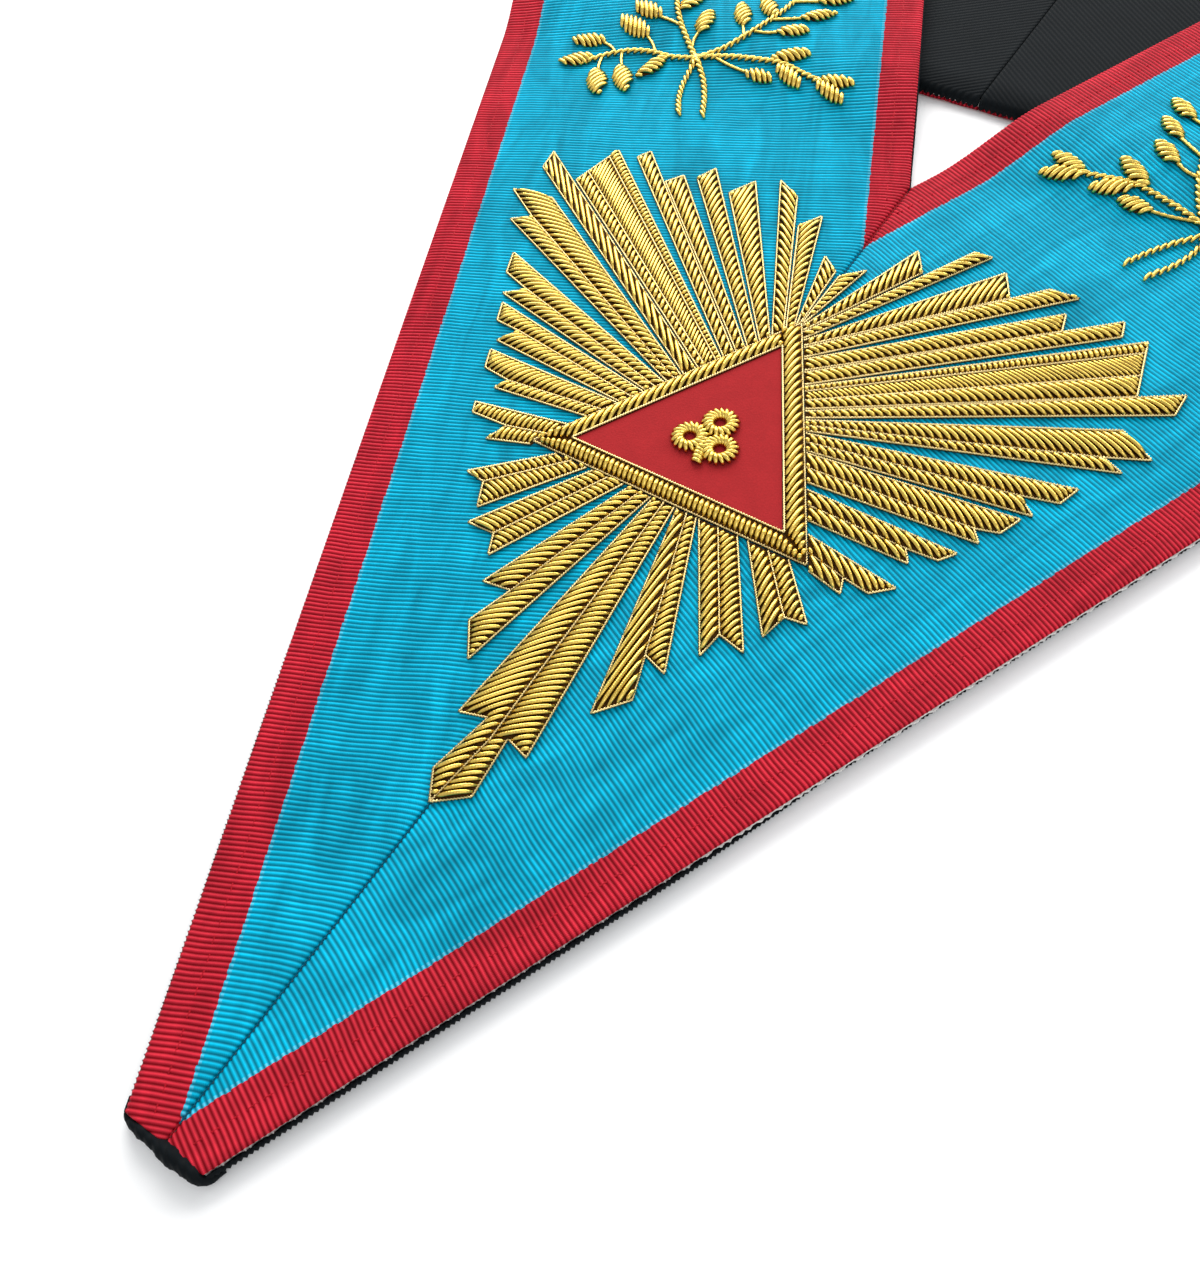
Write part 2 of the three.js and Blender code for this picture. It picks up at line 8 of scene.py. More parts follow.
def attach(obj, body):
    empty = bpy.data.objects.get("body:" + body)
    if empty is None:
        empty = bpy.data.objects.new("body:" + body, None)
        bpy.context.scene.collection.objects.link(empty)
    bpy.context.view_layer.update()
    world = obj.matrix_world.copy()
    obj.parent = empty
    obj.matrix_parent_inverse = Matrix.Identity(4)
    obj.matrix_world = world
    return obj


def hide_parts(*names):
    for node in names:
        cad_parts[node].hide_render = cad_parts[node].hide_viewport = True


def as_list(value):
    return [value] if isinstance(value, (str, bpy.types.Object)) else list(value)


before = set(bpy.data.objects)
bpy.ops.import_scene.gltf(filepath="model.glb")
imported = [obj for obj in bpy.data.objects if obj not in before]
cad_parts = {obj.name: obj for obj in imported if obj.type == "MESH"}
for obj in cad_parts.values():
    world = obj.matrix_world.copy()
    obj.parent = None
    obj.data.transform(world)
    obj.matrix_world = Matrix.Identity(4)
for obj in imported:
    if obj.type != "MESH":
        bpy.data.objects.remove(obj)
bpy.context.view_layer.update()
bpy.ops.object.select_all(action="DESELECT")


# The camera stands over the right arm, close to the collar, and looks down past the glory to the
# tip. The picture is upright, so the long side of the sensor is its height.
eye = Vector((0.08780, -0.16909, 0.18707))
sight = Vector((-0.3695, 0.4017, -0.8379)).normalized()
roll = math.radians(-10.35)
level = sight.cross(Vector((0, 0, 1))).normalized()
upward = level.cross(sight)
right = level * math.cos(roll) + upward * math.sin(roll)
top = upward * math.cos(roll) - level * math.sin(roll)
camera = bpy.data.objects.new("camera", bpy.data.cameras.new("camera"))
camera.data.sensor_width = 36
camera.data.lens = 36.18
camera.data.clip_start = 0.005
camera.matrix_world = Matrix.Translation(eye) @ Matrix((right, top, -sight)).transposed().to_4x4()
bpy.context.collection.objects.link(camera)
bpy.context.scene.camera = camera
bpy.context.scene.view_settings.view_transform = "Standard"


# Studio light: a wide soft box over the far left side, a weaker one over the near right side, a
# third behind the collar, and a pale room around them. Each lamp is aimed at the collar's middle.
lamps = [
    ("key_light", (-0.42, 0.46, 0.44), 0.55, 6.3, (1.0, 0.99, 0.97)),
    ("fill_light", (0.60, -0.35, 0.75), 0.70, 1.8, (0.97, 0.98, 1.0)),
    ("back_light", (0.15, 0.85, 0.45), 0.45, 3.7, (1.0, 1.0, 1.0)),
]
for name, place, size, power, colour in lamps:
    lamp = bpy.data.lights.new(name, "AREA")
    lamp.size = size
    lamp.energy = power
    lamp.color = colour
    holder = bpy.data.objects.new(name, lamp)
    holder.location = place
    holder.rotation_euler = (Vector((0, -0.03, 0)) - Vector(place)).to_track_quat("-Z", "Y").to_euler()
    bpy.context.collection.objects.link(holder)

room = bpy.data.worlds.new("studio")
room.use_nodes = True
room.node_tree.nodes["Background"].inputs["Color"].default_value = (0.97, 0.985, 1.0, 1)
room.node_tree.nodes["Background"].inputs["Strength"].default_value = 0.71
bpy.context.scene.world = room


# A value on a material's nodes. Sums on it add Math nodes, and node() adds any other node with its
# settings first and then what its sockets hold.
class Shade:
    def __init__(self, tree, socket=None):
        self.tree = tree
        self.socket = socket

    def feed(self, slot, value):
        if isinstance(value, Shade):
            self.tree.links.new(value.socket, slot)
        else:
            slot.default_value = value

    def node(self, kind, sockets, out=0, stops=None, **settings):
        made = self.tree.nodes.new("ShaderNode" + kind)
        for key, value in settings.items():
            setattr(made, key, value)
        for index, (place, colour) in enumerate(stops or []):
            ramp = made.color_ramp.elements
            stop = ramp[index] if index < 2 else ramp.new(place)
            stop.position = place
            stop.color = colour
        for key, value in sockets.items():
            self.feed(made.inputs[key], value)
        return Shade(self.tree, made.outputs[out])

    def sum(self, operation, first, second=0.0):
        return self.node("Math", {0: first, 1: second}, operation=operation)

    def __add__(self, other):
        return self.sum("ADD", self, other)

    def __radd__(self, other):
        return self.sum("ADD", other, self)

    def __sub__(self, other):
        return self.sum("SUBTRACT", self, other)

    def __rsub__(self, other):
        return self.sum("SUBTRACT", other, self)

    def __mul__(self, other):
        return self.sum("MULTIPLY", self, other)

    def __rmul__(self, other):
        return self.sum("MULTIPLY", other, self)

    def __truediv__(self, other):
        return self.sum("DIVIDE", self, other)

    def __lt__(self, other):
        return self.sum("LESS_THAN", self, other)

    def wave(self):
        return self.sum("SINE", self)

    def size(self):
        return self.sum("ABSOLUTE", self)

    def whole(self):
        return self.sum("FLOOR", self)

    def blend(self, first, second):
        sockets = {0: self, 6: first, 7: second}
        return self.node("Mix", sockets, out=2, data_type="RGBA", blend_type="MIX")

    def tint(self, colour):
        """The colour, darkened or lightened by this value."""
        grey = self.node("CombineColor", {0: self, 1: self, 2: self})
        return self.node("Mix", {0: 1.0, 6: colour, 7: grey}, out=2, data_type="RGBA", blend_type="MULTIPLY")


def channels(shade, attribute):
    """What a mesh carries in an attribute of three numbers: the whole of it, and each of the three."""
    place = shade.node("Attribute", {}, out=1, attribute_name=attribute)
    parts = shade.node("SeparateXYZ", {0: place})
    return place, *(Shade(shade.tree, parts.socket.node.outputs[k]) for k in range(3))


def surface(name, fixed):
    """A new material: its shade, and a call that sets what varies over it."""
    made = bpy.data.materials.new(name)
    made.use_nodes = True
    shader = made.node_tree.nodes["Principled BSDF"]
    for key, value in fixed.items():
        shader.inputs[key].default_value = value
    shade = Shade(made.node_tree)

    def vary(**values):
        for key, value in values.items():
            shade.feed(shader.inputs[key.replace("_", " ")], value)
        return made

    return shade, vary


# The table: a smooth white sheet, far wider than the picture.
bpy.ops.mesh.primitive_plane_add(size=6, location=(0, 0, 0))
table_top = bpy.context.object
table_top.name = "table_top"
shade, vary = surface("white_paper", {"Base Color": (0.97, 0.97, 0.97, 1), "Roughness": 0.75})
cloud = shade.node("TexNoise", {"Scale": 3.0, "Detail": 2.0})
table_top.data.materials.append(vary(Roughness=0.7 + 0.1 * cloud))


# The two face ribbons: turquoise watered silk over fine cross ribs, a red border along each edge. A
# ribbon is drawn flat, along and across, and then laid: up its arm from the mitre, rolled under at
# the shoulder, face down to the nape. Lengths in millimetres, from the inner corner of the V.
corner_y = 46.92
ribbon_width = 100.0
arm = math.radians(24)
half_turn = (math.pi / 2 - arm) / 2
tip_y = -228.36
tip_along = -208.6
seam_half = 0.15
back_edge = 34.0
lift = 4.2
fold_axis = 3.9
fold_radius = 2.0
face_top = 3.6
cloth = 1.0
rib = 0.89
border = 8.4
roll_crowd = 9
roll_reach = 7.0
rim_step = 0.45
ramp_start = 6
ramp_length = 26
halves = (("left", True), ("right", False))

run = np.array([math.sin(arm), math.cos(arm)])
side = np.array([math.cos(arm), -math.sin(arm)])
fold_at = (back_edge + ribbon_width) / math.cos(arm)
fold_start = run * fold_at
fold_run = run * math.sin(half_turn) - side * math.cos(half_turn)
fold_out = run * math.cos(half_turn) + side * math.sin(half_turn)
fold_arc = math.pi * fold_radius
nape_at = fold_at + fold_start[0] - seam_half + fold_arc / math.cos(half_turn)


def raised(y):
    """How far the arm is lifted off the table, up onto the folded back part."""
    t = np.clip((y - ramp_start) / ramp_length, 0, 1)
    return lift * t * t * (3 - 2 * t)


def laid(along, across, height):
    """Where a point of the flat right ribbon lies, with its height in the stack of cloths."""
    c, s = math.cos(half_turn), math.sin(half_turn)
    past = (along - fold_at) * c + across * s
    on_fold = (along - fold_at) * s - across * c
    rolled = np.clip(past, 0, fold_arc)
    radius = height + lift - fold_axis
    turned = rolled / fold_radius
    reach = np.minimum(past, 0) + radius * np.sin(turned) - np.maximum(past - fold_arc, 0)
    slid = on_fold - rolled * s / c
    x = fold_start[0] + fold_run[0] * slid + fold_out[0] * reach
    y = fold_start[1] + fold_run[1] * slid + fold_out[1] * reach
    z = np.where(past <= 0, raised(y) + height, fold_axis + radius * np.cos(turned))
    return np.stack([x, y, z], -1)


def columns(along, count, beyond, inside=0.0):
    """Places across the ribbon for each place along it, closer where it rolls and at its edges."""
    low = np.maximum(-inside, (seam_half - along * math.sin(arm)) / math.cos(arm))
    high = (along * math.cos(arm) - tip_y) / math.sin(arm)
    high = np.minimum(ribbon_width + beyond, np.maximum(high, low + 0.05))
    fine = np.linspace(0, 1, 400)
    roll_at = -(along - fold_at - 2.5) / math.tan(half_turn)
    rows = []
    for lo, hi, at in zip(low, high, roll_at):
        places = lo + (hi - lo) * fine
        weight = 1 + roll_crowd * np.exp(-(((places - at) / roll_reach) ** 2))
        total = np.concatenate([[0], np.cumsum((weight[1:] + weight[:-1]) / 2)])
        inner = np.interp(np.linspace(0, 1, count - 3), total / total[-1], places)
        rim = min(rim_step, (hi - lo) * 0.08)
        near = np.array([0, rim, 2.6 * rim])
        rows.append(np.concatenate([lo + near, inner[1:-1], hi - near[::-1]]))
    return np.sort(np.array(rows), 1)


def sheet_piece(name, points, strip, mirrored, thickness, body=None):
    """A cloth from rows of points, given its thickness below them, or the share of it in body."""
    rows, count = points.shape[:2]
    bpy.ops.mesh.primitive_grid_add(x_subdivisions=count - 1, y_subdivisions=rows - 1, size=2)
    made = bpy.context.object
    made.name = name
    net = made.data
    flat = np.empty(len(net.vertices) * 3)
    net.vertices.foreach_get("co", flat)
    flat = flat.reshape(-1, 3)
    column = np.rint((flat[:, 0] + 1) / 2 * (count - 1)).astype(int)
    row = np.rint((flat[:, 1] + 1) / 2 * (rows - 1)).astype(int)
    co = points[row, column] * [-1 if mirrored else 1, 1, 1]
    co = (co + [0, corner_y, 0]) / 1000
    net.vertices.foreach_set("co", co.astype(np.float32).ravel())
    mark = net.attributes.new("strip", "FLOAT_VECTOR", "POINT")
    mark.data.foreach_set("vector", strip[row, column].astype(np.float32).ravel())
    net.update()
    bpy.ops.object.mode_set(mode="EDIT")
    bpy.ops.mesh.select_all(action="SELECT")
    if mirrored:
        bpy.ops.mesh.flip_normals()
    bpy.ops.object.mode_set(mode="OBJECT")
    bpy.ops.object.shade_smooth()
    wall = made.modifiers.new("thickness", "SOLIDIFY")
    wall.thickness = thickness / 1000
    wall.offset = -1
    if body is not None:
        group = made.vertex_groups.new(name="body")
        for index, part in enumerate(body[row, column]):
            group.add([index], part, "REPLACE")
        wall.vertex_group = group.name
    bpy.ops.object.modifier_apply(modifier=wall.name)
    made.select_set(False)
    return made


def ripple(along, across):
    """The weft's slow wander along the ribbon, in millimetres."""
    slow = 0.24 * np.sin(across / 11.3 + along / 31) + 0.12 * np.sin(across / 5.3 - along / 17)
    return slow + 0.07 * np.sin(across / 1.9 + along / 5.3)


ribs_from = math.floor(tip_along / rib) * rib
ribs_to = math.ceil((fold_at + fold_arc / math.cos(half_turn)) / rib) * rib
shown_rows = np.arange(ribs_from, ribs_to, rib / 3)
hidden_rows = np.linspace(ribs_to, nape_at, 30)
along = np.concatenate([shown_rows, hidden_rows])
along = along[along > tip_along + 0.2]
across = columns(along, 28, 0.0)
along_grid = np.repeat(along[:, None], across.shape[1], 1)
phase = np.abs(np.sin(math.pi * along_grid / rib))
low_edge = across[:, :1]
high_edge = across[:, -1:]
near_edge = np.minimum(across - low_edge, high_edge - across)
crown = 0.24 * (phase - 0.8) - 0.30 * np.exp(-near_edge / 0.35)
on_seam = (along_grid < 0) * np.exp(-(across - low_edge) / 0.8)
height = face_top + crown - 0.28 * on_seam
ends = np.clip((nape_at - along_grid) / 3, 0, 1) * np.clip((along_grid - tip_along - 2.6) / 3, 0, 1)
wander = ripple(along_grid, across) * ends * np.clip(near_edge / 4, 0, 1)
points = laid(along_grid + wander, across, height)
strip = np.stack([along_grid, across, np.zeros_like(across)], -1)

shade, vary = surface("watered_ribbon", {"Specular IOR Level": 0.06})
place, u, v, _ = channels(shade, "strip")
pick = shade.node("TexWhiteNoise", {"W": (u / rib).whole()}, noise_dimensions="1D")
streak = shade.node("Mapping", {0: place, 3: (0.032, 0.12, 1.0)})
water = shade.node("TexNoise", {0: streak, "Scale": 1.0, "Detail": 4.0, "Distortion": 1.6})
fine = shade.node("Mapping", {0: place, 3: (1.1, 0.12, 1.0)})
grain = shade.node("TexNoise", {0: fine, "Scale": 1.0, "Detail": 3.0, "Distortion": 0.4})
ridge = (u * (math.pi / rib)).wave().size()
from_edge = ribbon_width / 2 - (v - ribbon_width / 2).size()
on_border = from_edge < border + 0.26 * (pick - 0.5)
# The red border gets a painted highlight: a lighter, pinker red on each rib's crest and a darker red in the
# valleys.
red_with_painted_rib_shine = ridge.blend((0.42, 0.0, 0.010, 1), (0.50, 0.020, 0.037, 1))
fleck = ((from_edge - (border + 0.32)).size() < 0.26) * ridge * ridge * 0.22
dye_and_painted_rib_shine = fleck.blend(on_border.blend((0.0, 0.378, 0.575, 1), red_with_painted_rib_shine), (0.36, 0.74, 0.84, 1))
# Painted rib shade: the colour is lighter on each rib's crest and darker in the valleys between ribs, times
# the watered moiré, the grain and a random tone per rib.
light = (0.44 + 0.74 * ridge * ridge) * (0.42 + 1.16 * water)
light = light * (0.78 + 0.44 * grain) * (0.93 + 0.14 * pick)
warp = (v * 22.0).wave() * 0.25 + ridge
relief = shade.node("Bump", {"Strength": 0.34, "Distance": 0.0003, "Height": warp})
watered_silk = vary(
    Base_Color=light.tint(dye_and_painted_rib_shine),
    Roughness=0.62 - 0.22 * water,
    Normal=relief,
)

faces = []
for name, mirrored in halves:
    ribbon = sheet_piece(f"silk_ribbon_{name}", points, strip, mirrored, cloth)
    ribbon.data.materials.append(watered_silk)
    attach(ribbon, "root")
    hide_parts(f"face_ribbon_{name}")
    faces.append(ribbon)


# The interlinings: stiff white canvas between ribbon and lining, cut flush with the ribbon, so that
# it shows here and there as a thin white line along the outer edges.
canvas_beyond = -0.1
canvas_top = 2.45
canvas_cloth = 0.6
shade, vary = surface("canvas", {"Specular IOR Level": 0.2})
_, u, v, _ = channels(shade, "strip")
weave = (u * 9.0).wave() * (v * 9.0).wave()
relief = shade.node("Bump", {"Strength": 0.4, "Distance": 0.0001, "Height": weave})
canvas = vary(
    Base_Color=(0.9 + 0.1 * weave).tint((0.74, 0.73, 0.70, 1)),
    Roughness=0.85 + 0.05 * weave,
    Normal=relief,
)
frayed = np.concatenate([np.arange(tip_along + 0.4, ribs_to, 0.75), hidden_rows[1:]])
across = columns(frayed, 14, canvas_beyond, -0.4)
across[:, -1] += np.where(np.sin(frayed * 5.1) + np.sin(frayed * 1.7) > 0.2, 0.12, -0.2)
along_grid = np.repeat(frayed[:, None], across.shape[1], 1)
points = laid(along_grid, across, np.full_like(across, canvas_top))
strip = np.stack([along_grid, across, np.zeros_like(across)], -1)
for name, mirrored in halves:
    stiffener = sheet_piece(f"canvas_{name}", points, strip, mirrored, canvas_cloth)
    stiffener.data.materials.append(canvas)
    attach(stiffener, "root")
    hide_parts(f"interlining_{name}")


# The linings: black corded cotton under the canvas. Near the tip and on the folded back part the rim
# stands out past the ribbon, with a small tooth at each cord, and curls up; between the two it is
# drawn in and lies flat. The lining lies uppermost on the folded back part.
lining_beyond = 0.30
lining_inside = 0.4
rim_ends = -128.0
shade, vary = surface("black_lining", {"Specular IOR Level": 0.08})
place, u, v, _ = channels(shade, "strip")
twill = ((u * 0.8 + v * 1.0) * 4.6).wave()
dust = shade.node("TexNoise", {0: place, "Scale": 0.12, "Detail": 5.0})
relief = shade.node("Bump", {"Strength": 0.3, "Distance": 0.0002, "Height": twill})
black_cotton = vary(
    Base_Color=(0.55 + 0.14 * twill + 0.5 * dust).tint((0.0050, 0.0072, 0.0088, 1)),
    Roughness=0.78 + 0.1 * twill,
    Normal=relief,
)
toothed_rows = np.arange(tip_along + 0.4, ribs_to, 0.43)
toothed = np.concatenate([toothed_rows, np.linspace(ribs_to, nape_at, 90)[1:]])
across = columns(toothed, 17, lining_beyond, lining_inside)
along_grid = np.repeat(toothed[:, None], across.shape[1], 1)
on_rim = across > ribbon_width + lining_beyond - 0.01
every_other = (np.arange(len(toothed)) % 2)[:, None]
tooth = every_other * (along_grid > -203) * on_rim
flat_part = np.clip((along_grid - rim_ends) / 28, 0, 1) * np.clip((fold_at - 6 - along_grid) / 12, 0, 1)
drawn_in = 0.15 + 0.55 * flat_part
toothed_across = across - 0.3 * tooth - drawn_in * (across > ribbon_width - 0.9)
near_rim = (across > ribbon_width - 0.3) * every_other
body = 1 - 0.5 * on_rim - 0.32 * near_rim * ~on_rim
strip = np.stack([along_grid, across, np.zeros_like(across)], -1)
linings = []
curl = np.interp(across - ribbon_width, (-0.9, -0.17, lining_beyond), (0, 0.34, 1.0)) - 0.36 * tooth
for name, mirrored, curled in (("left", True, 1.7), ("right", False, 1.95)):
    points = laid(along_grid, toothed_across, cloth + curled * curl * (1 - flat_part))
    lining = sheet_piece(f"cotton_lining_{name}", points, strip, mirrored, cloth, body)
    lining.data.materials.append(black_cotton)
    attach(lining, "root")
    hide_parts(f"lining_{name}")
    linings.append(lining)


# The lip: the linings' ends, rolled up over the blunt tip as one lumpy roll and sewn down. Its ends
# wrap the two corners and thin out into the linings' edges.
lip_straight = 7.0
lip_bend = 1.7
lip_reach = 10.6
lip_out = 1.15
lip_high = 1.95
lip_thins_at = 6.0
walk = np.linspace(0, lip_reach, 240)
veer = (math.pi / 2 - arm) * np.clip((walk - lip_straight) / lip_bend, 0, 1)
walk_x = np.cumsum(np.cos(veer)) * walk[1]
walk_y = np.cumsum(np.sin(veer)) * walk[1]
bpy.ops.mesh.primitive_cylinder_add(vertices=28, radius=1, depth=1, rotation=(0, math.pi / 2, 0))
lip = bpy.context.object
lip.name = "lining_lip"
bpy.ops.object.transform_apply(location=True, rotation=True, scale=True)
bpy.ops.object.mode_set(mode="EDIT")
bpy.ops.mesh.select_all(action="DESELECT")
bpy.ops.mesh.select_mode(type="EDGE")
bpy.ops.object.mode_set(mode="OBJECT")
for edge in lip.data.edges:
    ends = [lip.data.vertices[k].co.x for k in edge.vertices]
    edge.select = abs(ends[0] - ends[1]) > 0.5
bpy.ops.object.mode_set(mode="EDIT")
bpy.ops.mesh.subdivide(number_cuts=55)
bpy.ops.object.mode_set(mode="OBJECT")
for vertex in lip.data.vertices:
    at = vertex.co.x * 2 * lip_reach
    way = math.copysign(1, at)
    bent = float(np.interp(abs(at), walk, veer))
    lump = 1 + 0.10 * math.sin(at * 1.1 + 0.7) + 0.06 * math.sin(at * 2.9 + 1.0)
    lump += 0.32 * math.exp(-(((at - 2.6) / 2.4) ** 2)) - 0.34 * math.exp(-(((at + 6.2) / 2.4) ** 2))
    thinning = min(1.0, max(0.0, (abs(at) - lip_thins_at) / (lip_reach - lip_thins_at)))
    size = lump * (1 - 0.80 * thinning)
    pucker = 1 + 0.05 * math.sin(at * 7.3 + vertex.co.z * 2)
    out = vertex.co.y * lip_out * size * pucker
    x = way * (float(np.interp(abs(at), walk, walk_x)) - out * math.sin(bent))
    y = tip_y - 0.55 + float(np.interp(abs(at), walk, walk_y)) + out * math.cos(bent)
    z = lip_high * (1 - 0.55 * thinning) + vertex.co.z * lip_high * size
    vertex.co = (x / 1000, (y + corner_y) / 1000, max(0.02, z) / 1000)
bpy.ops.object.mode_set(mode="EDIT")
bpy.ops.mesh.select_all(action="SELECT")
bpy.ops.mesh.normals_make_consistent(inside=False)
bpy.ops.object.mode_set(mode="OBJECT")
bpy.ops.object.shade_smooth()
mark = lip.data.attributes.new("strip", "FLOAT_VECTOR", "POINT")
for vertex in lip.data.vertices:
    mark.data[vertex.index].vector = vertex.co * 1000
lip.data.materials.append(black_cotton)
lip.select_set(False)
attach(lip, "root")
for lining, carried in zip(linings, ([lip], [])):
    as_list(carried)


# Gold purl: short lengths of fine coiled wire, cut to lie side by side over a pad and sewn down at
# both ends. One length is modelled as a six-sided tube, which is bent and thinned where it is laid.
bpy.ops.mesh.primitive_cylinder_add(vertices=6, radius=1, depth=1, end_fill_type="NGON")
length_of_purl = bpy.context.object
bpy.ops.object.mode_set(mode="EDIT")
bpy.ops.mesh.select_all(action="DESELECT")
bpy.ops.mesh.select_mode(type="EDGE")
bpy.ops.object.mode_set(mode="OBJECT")
for edge in length_of_purl.data.edges:
    ends = [length_of_purl.data.vertices[k].co.z for k in edge.vertices]
    edge.select = abs(ends[0] - ends[1]) > 0.5
bpy.ops.object.mode_set(mode="EDIT")
bpy.ops.mesh.subdivide(number_cuts=5)
bpy.ops.object.mode_set(mode="OBJECT")
purl_points = np.array([vertex.co[:] for vertex in length_of_purl.data.vertices])
purl_faces = [tuple(face.vertices) for face in length_of_purl.data.polygons]
bpy.data.objects.remove(length_of_purl)

chance = np.random.default_rng(11)


class Work:
    """Wire work for one piece: points in millimetres, faces, and which look each face has."""

    def __init__(self):
        self.points = []
        self.faces = []
        self.marks = []
        self.kinds = []
        self.count = 0

    def add(self, points, faces, marks, kind):
        self.points.append(points)
        self.marks.append(marks)
        self.faces.extend(tuple(k + self.count for k in face) for face in faces)
        self.kinds.extend([kind] * len(faces))
        self.count += len(points)

    def piece(self, name, looks):
        net = bpy.data.meshes.new(name)
        points = (np.concatenate(self.points) + [0, corner_y, 0]) / 1000
        net.from_pydata(points.tolist(), [], self.faces)
        mark = net.attributes.new("wire", "FLOAT_VECTOR", "POINT")
        mark.data.foreach_set("vector", np.concatenate(self.marks).astype(np.float32).ravel())
        for look in looks:
            net.materials.append(look)
        net.polygons.foreach_set("material_index", self.kinds)
        net.polygons.foreach_set("use_smooth", [True] * len(self.faces))
        net.update()
        made = bpy.data.objects.new(name, net)
        bpy.context.collection.objects.link(made)
        return made


def lay_purl(work, start, end, base, swell, thickness, kind=0):
    """Lengths of purl from start to end, arched over a pad whose top stands swell high."""
    for a, b, lifted in zip(start, end, np.broadcast_to(swell, len(start))):
        reach = b - a
        size = float(np.hypot(*reach))
        if size < 0.5:
            continue
        ahead = reach / size
        beside = np.array([-ahead[1], ahead[0]])
        wide = thickness / 2 * chance.uniform(0.94, 1.06)
        t = purl_points[:, 2] + 0.5
        bow = 1 - np.abs(2 * t - 1) ** 2.4
        arch = lifted * bow + wide * 0.55
        slope = -lifted * 2.4 * np.sign(2 * t - 1) * np.abs(2 * t - 1) ** 1.4 * 2 / size
        slope = np.clip(slope, -1.6, 1.6)
        lean = 1 / np.sqrt(1 + slope**2)
        thin = wide * (1 - 0.35 * np.abs(2 * t - 1) ** 6)
        across_tube = purl_points[:, 0] * thin
        up_tube = purl_points[:, 1] * thin
        forward = size * (t - 0.5) - up_tube * slope * lean
        centre = (a + b) / 2
        xy = centre + forward[:, None] * ahead + across_tube[:, None] * beside
        z = base + raised(xy[:, 1]) + arch + up_tube * lean
        # The wire attribute: length along the purl, a random tone per length, and the height around the
        # tube, which the gold uses for painted shade.
        marks = np.stack([size * t, np.full_like(t, chance.random()), purl_points[:, 1]], 1)
        work.add(np.column_stack([xy, z]), purl_faces, marks, kind)


def hatch(outline, heading, spacing, margin):
    """Parallel lines through an outline: their starts and ends, kept clear of its edge."""
    ahead = np.array([math.cos(heading), math.sin(heading)])
    beside = np.array([-ahead[1], ahead[0]])
    outline = np.array(outline)
    x, y = outline @ ahead, outline @ beside
    starts, ends = [], []
    for level in np.arange(y.min() + spacing * 0.45, y.max(), spacing):
        cuts = []
        for k in range(len(x)):
            n = (k + 1) % len(x)
            if (y[k] > level) != (y[n] > level):
                cuts.append(x[k] + (x[n] - x[k]) * (level - y[k]) / (y[n] - y[k]))
        cuts.sort()
        for lo, hi in zip(cuts[::2], cuts[1::2]):
            inset = min(margin, (hi - lo) * 0.26)
            if hi - lo > 0.8:
                starts.append(ahead * (lo + inset) + beside * level)
                ends.append(ahead * (hi - inset) + beside * level)
    return np.array(starts), np.array(ends)


def lay_cord(work, path, base, thickness, turn, kind=1, narrow=0.5):
    """A twisted cord sewn along a path. narrow: its thin side, as a share of its thick one."""
    path = np.array(path, float)
    steps = np.hypot(*np.diff(path, axis=0).T)
    total = steps.sum()
    count = max(4, int(total / (turn / 6)))
    at = np.linspace(0, total, count)
    whole = np.concatenate([[0], np.cumsum(steps)])
    line = np.stack([np.interp(at, whole, path[:, k]) for k in (0, 1)], 1)
    ahead = np.gradient(line, axis=0)
    ahead /= np.maximum(np.hypot(*ahead.T), 1e-9)[:, None]
    beside = np.stack([-ahead[:, 1], ahead[:, 0]], 1)
    angle = at / turn * 2 * math.pi
    points, marks = [], []
    for corner in range(4):
        spoke = angle + corner * math.pi / 2
        size = thickness / 2 if corner % 2 == 0 else thickness / 2 * narrow
        xy = line + beside * (np.cos(spoke) * size)[:, None]
        z = base + raised(line[:, 1]) + thickness * 0.45 + np.sin(spoke) * size
        points.append(np.column_stack([xy, z]))
        # The third number is the height around the cord, lower on its thin sides, which the gold uses for
        # painted shade between the beads of the twist.
        marks.append(np.stack([at, np.full_like(at, 0.5), np.sin(spoke) * size * 2 / thickness], 1))
    points = np.stack(points, 1).reshape(-1, 3)
    marks = np.stack(marks, 1).reshape(-1, 3)
    faces = [(3, 2, 1, 0), tuple(4 * (count - 1) + k for k in range(4))]
    for ring in range(count - 1):
        for k in range(4):
            n = (k + 1) % 4
            faces.append((4 * ring + k, 4 * ring + n, 4 * ring + 4 + n, 4 * ring + 4 + k))
    work.add(points, faces, marks, kind)


def lay_pad(work, outline, base, high, kind=2):
    """The felt under the purl, a flat slab in the shape of the outline."""
    x, y = outline.T
    if np.sum(x * np.roll(y, -1) - np.roll(x, -1) * y) < 0:
        outline = outline[::-1]
    count = len(outline)
    floor = np.column_stack([outline, base + raised(outline[:, 1])])
    points = np.concatenate([floor, floor + [0, 0, high]])
    faces = [tuple(range(count - 1, -1, -1)), tuple(range(count, 2 * count))]
    faces += [(k, (k + 1) % count, count + (k + 1) % count, count + k) for k in range(count)]
    work.add(points, faces, np.zeros_like(points), kind)


def gold(name, colour, rough, coil):
    shade, vary = surface(name, {"Metallic": 1.0})
    _, drawn, lot, height = channels(shade, "wire")
    turns = (drawn * coil).wave()
    relief = shade.node("Bump", {"Strength": 0.08, "Distance": 0.0001, "Height": turns})
    # Painted shade: the gold is brightest on top of each tube or cord and darker on its sides and underside,
    # down to 0.07, by the height around it in the wire attribute.
    painted_tube_shade = shade.sum("MAXIMUM", 0.40 + 0.60 * height, 0.07)
    tone = (0.86 + 0.2 * lot + 0.04 * turns) * painted_tube_shade
    return vary(Base_Color=tone.tint(colour), Roughness=rough + 0.08 * lot, Normal=relief)


